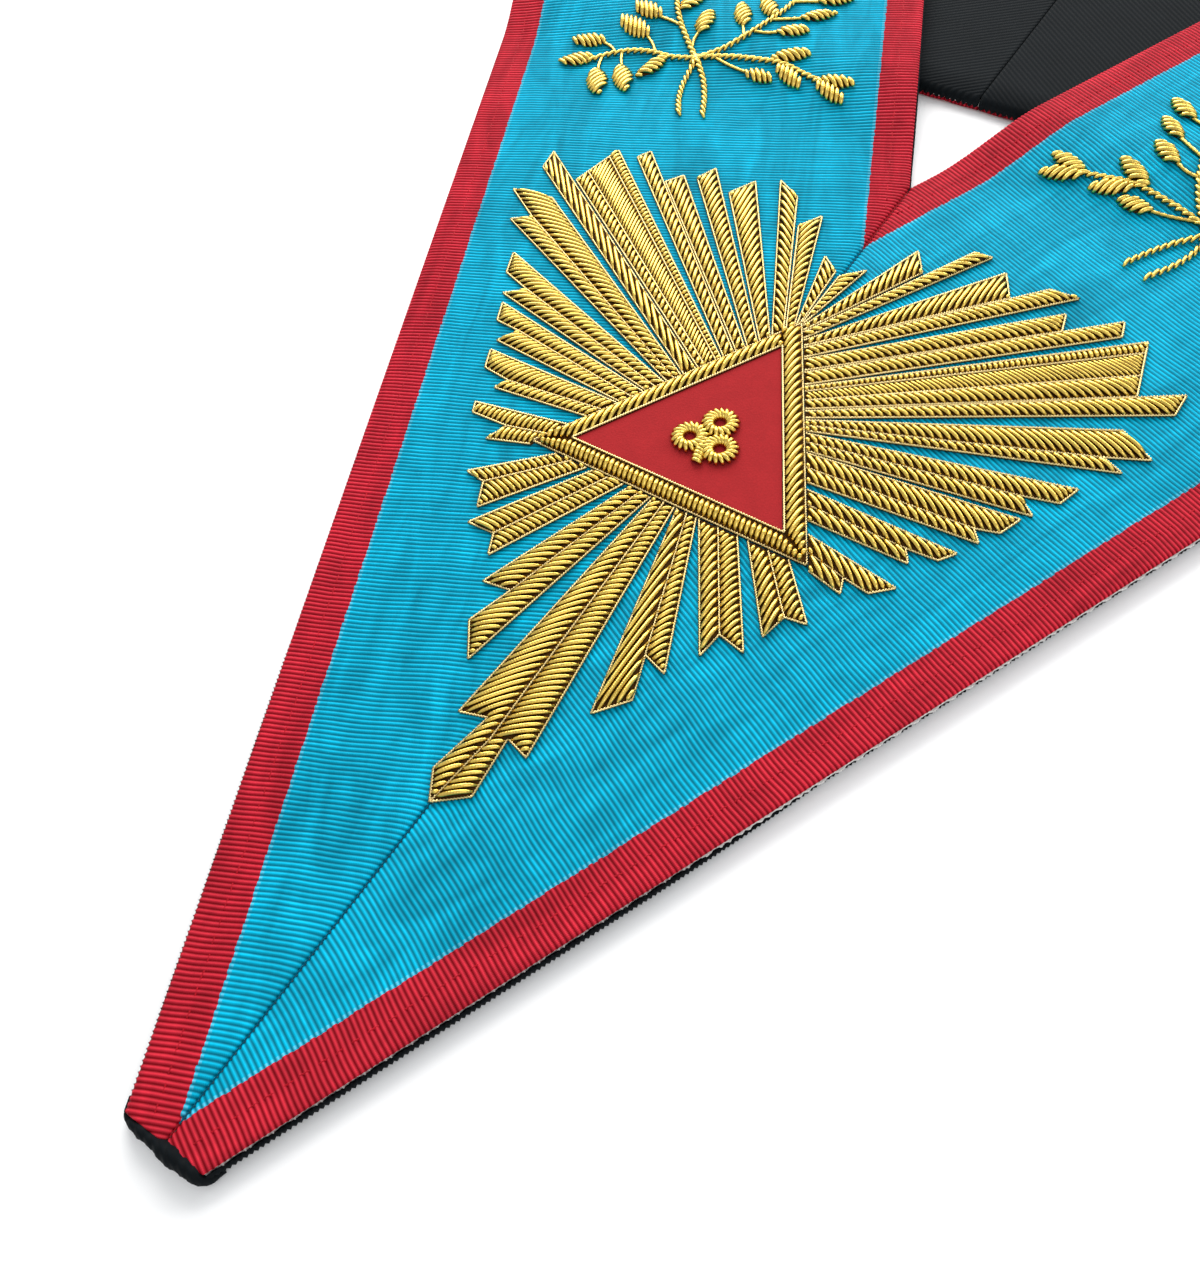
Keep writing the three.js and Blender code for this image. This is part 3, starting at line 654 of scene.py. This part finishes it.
bright_purl = gold("bright_purl", (0.95, 0.67, 0.145, 1), 0.22, 14.0)
twisted_gold = gold("twisted_gold", (0.95, 0.73, 0.32, 1), 0.28, 12.0)
shade, vary = surface("padding_felt", {"Specular IOR Level": 0.1})
fibre = shade.node("TexNoise", {0: shade.node("TexCoord", {}, out=3), "Scale": 1500.0, "Detail": 2.0})
padding = vary(Base_Color=(0.6 + 0.8 * fibre).tint((0.085, 0.034, 0.006, 1)), Roughness=0.85 + 0.1 * fibre)


# Topstitching in red thread along both edges of each arm, 4.6 mm in, and the thread that closes the
# mitre, drawn down into its groove: dark, and red where it crosses the borders.
def thread(name, colour):
    shade, vary = surface(name, {"Specular IOR Level": 0.1})
    _, drawn, lot, _ = channels(shade, "wire")
    ply = (drawn * 18.0).wave()
    return vary(Base_Color=(0.8 + 0.3 * lot + 0.1 * ply).tint(colour), Roughness=0.6 + 0.1 * lot)


red_thread = thread("red_thread", (0.36, 0.006, 0.014, 1))
dark_thread = thread("dark_blue_thread", (0.0, 0.13, 0.22, 1))
stitch_in = 4.6
stitch_length = 1.8
stitch_step = 2.8
stitch_size = 0.32
for name, mirrored, ribbon in (("left", True, faces[0]), ("right", False, faces[1])):
    work = Work()
    turned_out = np.array([-1, 1]) if mirrored else np.array([1, 1])
    for across_at in (stitch_in, ribbon_width - stitch_in):
        at_mitre = (seam_half + 1.2 - across_at * math.cos(arm)) / math.sin(arm)
        at_tip = (tip_y + 2.2 + across_at * math.sin(arm)) / math.cos(arm)
        last = fold_at - across_at * math.tan(half_turn) - 4
        begins = np.arange(max(at_mitre, at_tip), last - stitch_length, stitch_step)
        begins = begins + chance.uniform(-0.3, 0.3, len(begins))
        lengths = stitch_length * chance.uniform(0.8, 1.1, len(begins))
        strays = across_at + chance.uniform(-0.14, 0.14, (2, len(begins)))
        start = (run[None] * begins[:, None] + side * strays[0][:, None]) * turned_out
        end = (run[None] * (begins + lengths)[:, None] + side * strays[1][:, None]) * turned_out
        lay_purl(work, start, end, face_top - 0.21, 0.02, stitch_size)
    seam = work.piece(f"topstitch_{name}", [red_thread])
    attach(seam, "root")

work = Work()
dark = 0
red = 1
border_at_tip = tip_y + 3.2
below_glory = -166.0
above_glory = -44.0
border_at_v = -20.7
seam_runs = [
    (tip_y + 0.6, border_at_tip, red),
    (border_at_tip, below_glory, dark),
    (above_glory, border_at_v, dark),
    (border_at_v, -1.0, red),
]
for low, high, kind in seam_runs:
    lay_cord(work, [(0, low), (0, high)], face_top - 0.74, stitch_size, 1.6, kind=kind, narrow=0.8)
mitre = work.piece("mitre_seam", [dark_thread, red_thread])
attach(mitre, "root")


# Padded rays of the glory: outline in hundredths of its size, from root round the tip to root, the
# edge nearer the triangle's top first; valley, the point where the middle cord starts; lanes, where
# a wide ray is divided; slants, each strip's purl turned clockwise from the ray's way, in degrees.
glory_y = -80.2
frame_outer = 17.2
frame_band = 0.256 * frame_outer
frame_inner = frame_outer - frame_band
cord_size = 0.64
cord_turn = 1.1
cord_lift = 0.18
purl_size = 0.86
purl_step = 1.04
purl_margin = 0.40
fine_size = 0.60
fine_step = 0.74
root_spread = 0.40
ray_inset = -0.08
ray_pad = 0.4
rays = [
    ("left_1", [(-0.3, 34.9), (-1.3, 49.9), (-5.1, 52.8), (-0.9, 33.9)], None, None, (-32,)),
    ("left_2", [(-1.2, 33.3), (-11.6, 63.2), (-14.4, 58.6), (-2.1, 31.4)], None, None, (31,)),
    ("left_3", [(-2.4, 31.0), (-19.3, 66.4), (-24.8, 69.4), (-3.7, 28.7)], None, None, (-26,)),
    ("left_4", [(-4.0, 28.4), (-29.6, 66.6), (-32.6, 61.1), (-5.1, 26.2)], None, None, (28,)),
    ("left_5", [(-5.4, 25.8), (-39.4, 66.5), (-41.3, 62.2), (-6.5, 23.7)], None, None, (32,)),
    ("left_6", [(-6.8, 23.4), (-44.4, 61.4), (-46.8, 58.0), (-7.8, 21.5)], None, None, (28,)),
    ("left_7", [(-8.0, 21.2), (-55.3, 65.1), (-56.9, 62.3), (-9.1, 19.4)], None, None, (28,)),
    (
        "left_8",
        [(-9.6, 18.5), (-62.0, 62.2), (-64.8, 49.7), (-12.0, 14.3)],
        None, (0.22, 0.72), (60, 38, 34),
    ),
    ("left_9", [(-12.3, 13.8), (-74.9, 55.3), (-74.0, 50.0), (-13.5, 11.7)], None, None, (16,)),
    (
        "left_10",
        [(-14.0, 10.9), (-66.3, 42.2), (-75.6, 40.8), (-66.4, 35.2), (-70.3, 32.5), (-15.5, 8.2)],
        3, None, (-34, -34),
    ),
    (
        "left_11",
        [(-15.7, 7.9), (-63.4, 24.0), (-61.2, 18.5), (-54.1, 16.2), (-58.1, 13.1), (-17.8, 4.2)],
        3, None, (-40, -40),
    ),
    (
        "left_12",
        [(-18.0, 3.9), (-56.5, 10.6), (-54.5, 6.1), (-48.6, 5.7), (-51.1, 1.5), (-20.6, -0.6)],
        3, None, (-50, -50),
    ),
    (
        "left_13",
        [(-20.9, -1.1), (-50.7, -1.4), (-48.8, -5.7), (-42.3, -6.4), (-43.9, -9.2), (-24.0, -6.4)],
        3, None, (-52, -52),
    ),
    (
        "left_14",
        [
            (-26.5, -10.8), (-44.9, -14.2), (-43.8, -16.5), (-35.7, -16.1), (-37.4, -20.6),
            (-28.9, -17.2),
        ],
        3, None, (-70, -76),
    ),
    (
        "left_15",
        [(-23.1, -17.5), (-35.7, -28.9), (-31.6, -29.4), (-29.0, -34.7), (-17.3, -17.5)],
        2, None, (64, 64),
    ),
    (
        "left_16",
        [(-14.8, -17.5), (-28.2, -38.5), (-22.7, -38.2), (-20.7, -42.5), (-9.1, -17.5)],
        2, None, (60, 60),
    ),
    (
        "left_17",
        [
            (-6.7, -17.5), (-17.9, -47.7), (-12.4, -46.8), (-15.1, -55.6), (-10.6, -61.9),
            (-2.6, -17.5),
        ],
        2, None, (36, 36),
    ),
    (
        "bottom",
        [
            (-1.8, -17.5), (-5.6, -71.0), (-0.6, -69.4), (-2.8, -81.6), (0.3, -86.6),
            (5.5, -82.4), (4.3, -70.9), (8.9, -72.2), (2.5, -17.5),
        ],
        4, None, (39, 51),
    ),
    (
        "right_17",
        [(6.9, -17.5), (19.6, -47.6), (14.9, -46.1), (17.8, -54.6), (13.5, -60.0), (3.3, -17.5)],
        2, None, (42, 18),
    ),
    (
        "right_16",
        [(15.3, -17.5), (28.7, -37.5), (23.5, -36.4), (22.9, -41.6), (8.3, -17.5)],
        2, None, (44, 33),
    ),
    (
        "right_15",
        [(25.6, -17.5), (35.0, -27.4), (31.1, -28.0), (30.0, -33.1), (18.5, -17.5)],
        2, None, (40, 35),
    ),
    (
        "right_14",
        [(26.9, -11.4), (44.3, -13.6), (40.9, -16.7), (35.7, -15.9), (36.8, -19.1), (30.5, -17.4)],
        3, None, (28, 28),
    ),
    (
        "right_13",
        [(21.8, -2.6), (49.9, -2.1), (47.9, -4.8), (41.9, -5.2), (43.7, -7.9), (24.7, -7.7)],
        3, None, (29, 29),
    ),
    (
        "right_12",
        [(17.5, 5.0), (56.1, 9.8), (54.4, 5.6), (50.0, 4.3), (52.1, 1.8), (20.4, -0.2)],
        3, None, (38, 38),
    ),
    (
        "right_11",
        [(14.9, 9.5), (61.9, 20.7), (60.5, 16.5), (53.6, 14.7), (57.5, 11.6), (16.8, 6.1)],
        3, None, (40, 40),
    ),
    (
        "right_10",
        [(13.2, 12.4), (63.4, 37.0), (70.1, 33.0), (62.6, 29.6), (66.8, 27.8), (14.6, 10.0)],
        3, None, (44, 44),
    ),
    ("right_9", [(12.1, 14.3), (69.9, 50.2), (69.8, 44.9), (13.0, 12.8)], None, None, (44,)),
    (
        "right_8",
        [(8.9, 19.7), (59.1, 59.6), (62.4, 46.0), (11.8, 14.8)],
        None, (0.2, 0.62), (82, 48, 48),
    ),
    ("right_7", [(7.1, 23.0), (53.4, 62.6), (54.4, 58.9), (8.7, 20.1)], None, None, (46,)),
    ("right_6", [(5.3, 26.0), (43.1, 59.5), (44.2, 55.1), (6.9, 23.3)], None, None, (44,)),
    ("right_5", [(3.8, 28.7), (37.9, 64.5), (43.5, 64.7), (5.1, 26.3)], None, None, (48,)),
    ("right_4", [(2.8, 30.4), (28.5, 64.7), (31.9, 58.8), (3.6, 29.0)], None, None, (-39,)),
    ("right_3", [(1.6, 32.4), (20.7, 67.5), (24.2, 67.7), (2.5, 30.9)], None, None, (34,)),
    ("right_2", [(0.7, 34.0), (10.6, 62.6), (14.0, 57.5), (1.4, 32.8)], None, None, (-34,)),
    ("right_1", [(-0.1, 35.4), (0.2, 49.0), (4.0, 52.9), (0.5, 34.6)], None, None, (42,)),
]
bottom_bend = [(1.9, -72.5), (1.5, -60.0)]
to_glory = np.array([0, glory_y])


def share(a, b, t):
    return np.array(a) + (np.array(b) - np.array(a)) * t


def narrowed(outline, margin):
    """The outline drawn in by a margin, or let out by a negative one."""
    outline = np.array(outline, float)
    ahead = np.roll(outline, -1, 0) - outline
    ahead /= np.maximum(np.hypot(*ahead.T), 1e-9)[:, None]
    back = np.roll(ahead, 1, 0)
    x, y = outline.T
    turn = np.sign(np.sum(x * np.roll(y, -1) - np.roll(x, -1) * y))
    inward = np.stack([-ahead[:, 1], ahead[:, 0]], 1) * turn
    inward_back = np.roll(inward, 1, 0)
    middle = inward + inward_back
    middle /= np.maximum(np.hypot(*middle.T), 0.4)[:, None]
    openness = np.maximum(0.5, np.sqrt((1 + np.sum(ahead * back, 1)) / 2))
    return outline + middle * (margin / openness)[:, None]


def rooted(tip, rough):
    """Where an edge, followed from its tip, meets the outer cord of the triangle's frame."""
    tip, rough = np.array(tip), np.array(rough)
    drops = []
    for degrees in (150, 30, 270):
        out = np.array([math.cos(math.radians(degrees)), math.sin(math.radians(degrees))])
        past = tip @ out - frame_outer - 0.1
        fall = tip @ out - rough @ out
        if past > 0 and fall > 0:
            drops.append(past / fall)
    return tip + (rough - tip) * max(drops)


rooted_rays = []
for name, outline, valley, lanes, slants in rays:
    outline = [rooted(outline[1], outline[0]), *outline[1:-1], rooted(outline[-2], outline[-1])]
    rooted_rays.append((name, np.array(outline, float), valley, lanes, slants))

for name, outline, valley, lanes, slants in rooted_rays:
    others = np.array([other[1][k] for other in rooted_rays if other[0] != name for k in (0, -1)])
    outline = outline.copy()
    base_way = (outline[0] - outline[-1]) / np.hypot(*(outline[0] - outline[-1]))
    for k, way in ((0, base_way), (-1, -base_way)):
        room = np.hypot(*(others - outline[k]).T).min()
        outline[k] += way * np.clip(room / 2 + ray_inset - cord_size / 2, -0.25, root_spread)
    outline = narrowed(outline, ray_inset)
    last = len(outline) - 1
    foot = share(outline[0], outline[last], 0.5)
    if valley:
        bend = list(bottom_bend) if name == "bottom" else []
        spine = [outline[valley], *bend, foot]
        back_way = spine[1:]
        strips = [
            [*outline[: valley + 1], *back_way],
            [outline[valley], *outline[valley + 1 :], *back_way[::-1]],
        ]
        inner_cords = [spine]
    elif lanes:
        cuts = [0, *lanes, 1]
        strips, inner_cords = [], []
        for low, high in zip(cuts, cuts[1:]):
            near = [share(outline[0], outline[3], low), share(outline[1], outline[2], low)]
            far = [share(outline[1], outline[2], high), share(outline[0], outline[3], high)]
            strips.append(near + far)
            if high < 1:
                inner_cords.append(far[::-1])
    else:
        strips, inner_cords = [outline], []
    tip = outline[1:last].mean(0)
    ray_way = math.atan2(*(tip - foot)[::-1])
    work = Work()
    for index, (strip_outline, slant) in enumerate(zip(strips, slants)):
        fine = bool(lanes) and index == 1
        heading = ray_way - math.radians(slant)
        start, end = hatch(strip_outline, heading, fine_step if fine else purl_step, purl_margin)
        if not len(start):
            continue
        size = np.hypot(*(end - start).T)
        swell = np.clip(size * (0.05 if fine else 0.12), 0.18, 0.62)
        thickness = fine_size if fine else purl_size
        lay_pad(work, np.array(strip_outline) + to_glory, face_top, ray_pad)
        lay_purl(work, start + to_glory, end + to_glory, face_top + 0.25, swell, thickness)
    for path in [outline, *inner_cords]:
        lay_cord(work, np.array(path) + to_glory, face_top + cord_lift, cord_size, cord_turn)
    ray = work.piece(f"gold_ray_{name}", [bright_purl, twisted_gold, padding])
    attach(ray, "root")
    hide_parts(f"ray_{name}")


# The red felt triangle under the emblem, a flat patch with a soft nap.
def triangle(radius):
    return np.array([(0, 2 * radius), (-radius * math.sqrt(3), -radius), (radius * math.sqrt(3), -radius)])


bpy.ops.mesh.primitive_cylinder_add(vertices=3, radius=1, depth=1)
felt = bpy.context.object
felt.name = "felt_triangle"
corners = triangle(frame_inner)
felt_height = 1.1
for vertex in felt.data.vertices:
    corner = int(np.argmax(triangle(0.5) @ np.array(vertex.co[:2])))
    x, y = corners[corner]
    z = face_top + 0.05 + (vertex.co.z + 0.5) * felt_height
    vertex.co = (x / 1000, (y + glory_y + corner_y) / 1000, z / 1000)
bpy.ops.object.mode_set(mode="EDIT")
bpy.ops.mesh.select_all(action="SELECT")
bpy.ops.mesh.normals_make_consistent(inside=False)
bpy.ops.mesh.subdivide(number_cuts=7)
bpy.ops.object.mode_set(mode="OBJECT")
shade, vary = surface("red_felt", {"Specular IOR Level": 0.12})
place = shade.node("TexCoord", {}, out=3)
nap = shade.node("TexNoise", {0: place, "Scale": 2600.0, "Detail": 3.0})
tuft = shade.node("TexNoise", {0: place, "Scale": 260.0, "Detail": 2.0})
relief = shade.node("Bump", {"Strength": 0.5, "Distance": 0.0002, "Height": nap})
red_felt = vary(
    Base_Color=(0.75 + 0.3 * nap + 0.2 * tuft).tint((0.34, 0.017, 0.020, 1)),
    Roughness=0.85 + 0.1 * nap,
    Normal=relief,
)
felt.data.materials.append(red_felt)
felt.select_set(False)
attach(felt, "root")
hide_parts("triangle_field")


# The triangle's frame: three padded bars of purl between two cords. The right bar runs on past the
# top corner, and the bars' lengths of purl lean their own ways.
bar_pad = 0.8
bar_swell = 0.9
outer, inner = triangle(frame_outer - cord_size / 2), triangle(frame_inner + cord_size / 2)
up_right = (inner[0] - inner[2]) / np.hypot(*(inner[0] - inner[2]))
square_to_left = np.array([-math.sqrt(3) / 2, 0.5])
past_top = inner[0] + up_right * (square_to_left @ (outer[0] - inner[0])) / (square_to_left @ up_right)
bars = [
    ([past_top, outer[1], inner[1], inner[0]], -56.0),
    ([outer[1], outer[2], inner[2], inner[1]], 14.0),
    ([outer[2], outer[0], past_top, inner[2]], 59.0),
]
work = Work()
for corners, lean in bars:
    way = corners[1] - corners[0]
    heading = math.atan2(way[1], way[0]) + math.pi / 2 + math.radians(lean)
    start, end = hatch(corners, heading, purl_step, purl_margin)
    lay_pad(work, np.array(corners) + to_glory, face_top, bar_pad)
    lay_purl(work, start + to_glory, end + to_glory, face_top + 0.5, bar_swell, purl_size * 1.08)
for corners, cord_base in ((outer, face_top + 0.35), (inner, face_top + 1.1)):
    lay_cord(work, np.vstack([corners, corners[:1]]) + to_glory, cord_base, cord_size, cord_turn)
bars_piece = work.piece("gold_triangle_frame", [bright_purl, twisted_gold, padding])
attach(bars_piece, "root")
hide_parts("triangle_frame")


# The emblem on the felt: a trefoil of padded purl band, three loops on a short stalk.
loop_reach = 0.215 * frame_outer
loop_outer = loop_reach - 0.15
loop_eye = 0.07 * frame_outer
emblem_y = glory_y - 0.035 * frame_outer
loop_lengths = 17
stalk_lengths = 7
emblem_purl = 0.95
on_felt = face_top + 1.15
to_emblem = np.array([0, emblem_y])
middles = [loop_reach * np.array([math.cos(a), math.sin(a)]) for a in np.radians([90, 210, 330])]
work = Work()
for loop in middles:
    for k in range(loop_lengths):
        a = 2 * math.pi * k / loop_lengths
        inside = loop + loop_eye * np.array([math.cos(a - 0.35), math.sin(a - 0.35)])
        outside = loop + loop_outer * np.array([math.cos(a + 0.25), math.sin(a + 0.25)])
        middle = (inside + outside) / 2
        nearest = min(middles, key=lambda m: np.hypot(*(m - middle)))
        if nearest is loop:
            lay_purl(work, [inside + to_emblem], [outside + to_emblem], on_felt, 0.8, emblem_purl)
stalk = np.array([(0.0, -1.2), (0.1, -4.2), (1.0, -7.1)])
for k in range(stalk_lengths):
    t = (k + 0.5) / stalk_lengths
    at = np.array([np.interp(t, (0, 0.5, 1), stalk[:, axis]) for axis in (0, 1)]) + to_emblem
    lay_purl(work, [at - [1.0, -0.35]], [at + [1.0, 0.35]], on_felt, 0.7, emblem_purl)
emblem = work.piece("gold_trefoil", [bright_purl])
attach(emblem, "root")
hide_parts("trefoil")


# The sprigs: stems of slanted purl, fine twigs, and padded leaves of slanted purl. Measured on the
# left arm as far as the photograph shows it, and guessed above. X is counted out from the axis, in
# hundredths of the ribbon's width.
stems = [
    (2.3, [(57.4, -0.4), (60.0, 4.1), (61.8, 8.8), (62.6, 13.2), (63.1, 16.7)]),
    (2.3, [(52.1, 1.4), (54.8, 6.6), (58.1, 11.6), (61.2, 14.9), (63.4, 17.0)]),
    (2.1, [(62.9, 16.7), (69.2, 15.0), (74.6, 14.7), (81.5, 12.2), (85.2, 9.1), (87.6, 6.3)]),
    (2.1, [(63.3, 16.9), (55.6, 19.6), (49.6, 20.9), (43.7, 21.8), (38.1, 21.0), (31.5, 19.8)]),
    (2.3, [(62.9, 16.4), (66.0, 19.0), (72.8, 25.4), (77.2, 31.1), (80.5, 38.0)]),
    (2.3, [(63.3, 16.4), (58.6, 21.0), (55.5, 26.2), (53.0, 33.4), (51.7, 40.5), (51.6, 47.0)]),
    (1.2, [(82.2, 11.6), (84.5, 13.0), (87.4, 13.6)]),
    (1.2, [(73.2, 15.0), (75.2, 17.0), (78.2, 18.9)]),
    (1.2, [(71.4, 24.0), (74.6, 24.6), (78.4, 24.8)]),
    (1.2, [(65.4, 18.6), (66.4, 21.3), (66.5, 24.0)]),
    (1.2, [(84.8, 9.4), (83.9, 6.6), (82.4, 4.2)]),
    (1.2, [(81.0, 12.3), (79.8, 10.1), (78.0, 7.9)]),
    (1.2, [(55.6, 26.0), (56.7, 27.6), (58.0, 29.6)]),
    (1.2, [(54.6, 28.4), (51.5, 28.9), (48.5, 30.4)]),
    (1.2, [(53.0, 33.6), (49.6, 35.4), (46.0, 37.5)]),
    (1.2, [(59.0, 18.4), (54.0, 17.4), (49.3, 17.0)]),
    (1.2, [(51.7, 42.0), (48.6, 43.6), (45.5, 44.8)]),
    (1.2, [(78.4, 33.2), (82.0, 34.2), (85.4, 34.6)]),
]
leaves = [
    ((86.2, 8.0), (93.7, 3.6), 4.6),
    ((86.6, 13.7), (95.4, 11.6), 4.2),
    ((77.4, 18.4), (87.7, 22.0), 5.2),
    ((77.6, 24.7), (87.1, 26.9), 4.8),
    ((66.5, 23.2), (67.0, 31.3), 4.4),
    ((83.0, 5.0), (78.0, -3.4), 5.2),
    ((78.6, 8.6), (72.7, 0.4), 5.0),
    ((69.8, 14.4), (73.5, 6.6), 3.8),
    ((57.6, 28.8), (62.0, 36.7), 4.4),
    ((49.3, 30.0), (41.9, 33.8), 3.8),
    ((46.8, 37.0), (39.9, 42.0), 3.6),
    ((46.4, 22.6), (37.7, 26.7), 3.9),
    ((50.2, 17.1), (42.1, 16.7), 3.6),
    ((43.8, 21.2), (35.4, 16.7), 4.0),
    ((33.6, 20.4), (24.3, 22.0), 3.6),
    ((33.0, 19.9), (24.2, 16.2), 3.8),
    ((53.0, 34.6), (58.6, 41.2), 4.4),
    ((46.4, 44.5), (39.0, 48.6), 3.8),
    ((51.6, 46.0), (52.6, 54.5), 4.4),
    ((74.6, 28.4), (72.0, 36.6), 4.2),
    ((84.4, 34.5), (92.0, 37.2), 4.4),
    ((80.2, 37.2), (83.4, 45.6), 4.6),
]
right_scale = 0.956
right_turn = math.radians(-3.36)
right_shift = (-2.26, -0.12)
band_lean = math.radians(25)
band_size = 0.80
twig_size = 0.92
leaf_lean = math.radians(42)
leaf_step = 1.08
leaf_pad_share = 0.68
leaf_shape = [(0.0, 0.2), (0.2, 0.78), (0.45, 1.0), (0.7, 0.82), (0.9, 0.4), (1.0, 0.0)]


def on_left(point):
    return np.array([-point[0], point[1]])


def on_right(point):
    c, s = right_scale * math.cos(right_turn), right_scale * math.sin(right_turn)
    x, y = point
    return np.array([c * x - s * y + right_shift[0], s * x + c * y + right_shift[1]])


def smoothed(points, spacing):
    """A smooth line through the points."""
    points = np.array(points, float)
    steps = np.hypot(*np.diff(points, axis=0).T)
    at = np.concatenate([[0], np.cumsum(steps)])
    slopes = np.gradient(points, at, axis=0)
    places = np.linspace(0, at[-1], max(3, int(at[-1] / spacing)))
    k = np.clip(np.searchsorted(at, places, side="right") - 1, 0, len(at) - 2)
    span = at[k + 1] - at[k]
    t = ((places - at[k]) / span)[:, None]
    span = span[:, None]
    h0, h1 = 2 * t**3 - 3 * t**2 + 1, t**3 - 2 * t**2 + t
    h2, h3 = 3 * t**2 - 2 * t**3, t**3 - t**2
    return h0 * points[k] + h1 * span * slopes[k] + h2 * points[k + 1] + h3 * span * slopes[k + 1]


for name, put in (("left", on_left), ("right", on_right)):
    work = Work()
    lean = -1 if name == "left" else 1
    for wide, line in stems:
        if wide > 2:
            path = smoothed([put(p) for p in line], 1.5)
            ahead = np.gradient(path, axis=0)
            ahead /= np.hypot(*ahead.T)[:, None]
            beside = np.stack([-ahead[:, 1], ahead[:, 0]], 1)
            leant = (ahead * math.cos(band_lean) + beside * math.sin(band_lean)) * wide * 0.62
            lay_purl(work, path - leant, path + leant, face_top + 0.05, 0.50, band_size)
        else:
            path = smoothed([put(p) for p in line], 0.35)
            lay_cord(work, path, face_top, twig_size, 2.6, kind=0, narrow=0.85)
    for start, end, wide in leaves:
        a, b = put(start), put(end)
        way = b - a
        beside = np.array([-way[1], way[0]]) / np.hypot(*way)
        rim = [a + way * t + beside * half * wide / 2 for t, half in leaf_shape]
        rim += [a + way * t - beside * half * wide / 2 for t, half in leaf_shape[::-1]]
        heading = math.atan2(way[1], way[0]) + lean * leaf_lean
        first, last_end = hatch(rim, heading, leaf_step, 0.05)
        if len(first):
            size = np.hypot(*(last_end - first).T)
            pad = np.array(rim[: len(leaf_shape) - 1] + rim[len(leaf_shape) : -1])
            lay_pad(work, pad.mean(0) + (pad - pad.mean(0)) * leaf_pad_share, face_top, 0.35)
            lay_purl(work, first, last_end, face_top + 0.1, np.clip(size * 0.2, 0.2, 0.8), leaf_step)
    sprig = work.piece(f"gold_sprig_{name}", [bright_purl, twisted_gold, padding])
    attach(sprig, "root")
    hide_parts(f"sprig_{name}")
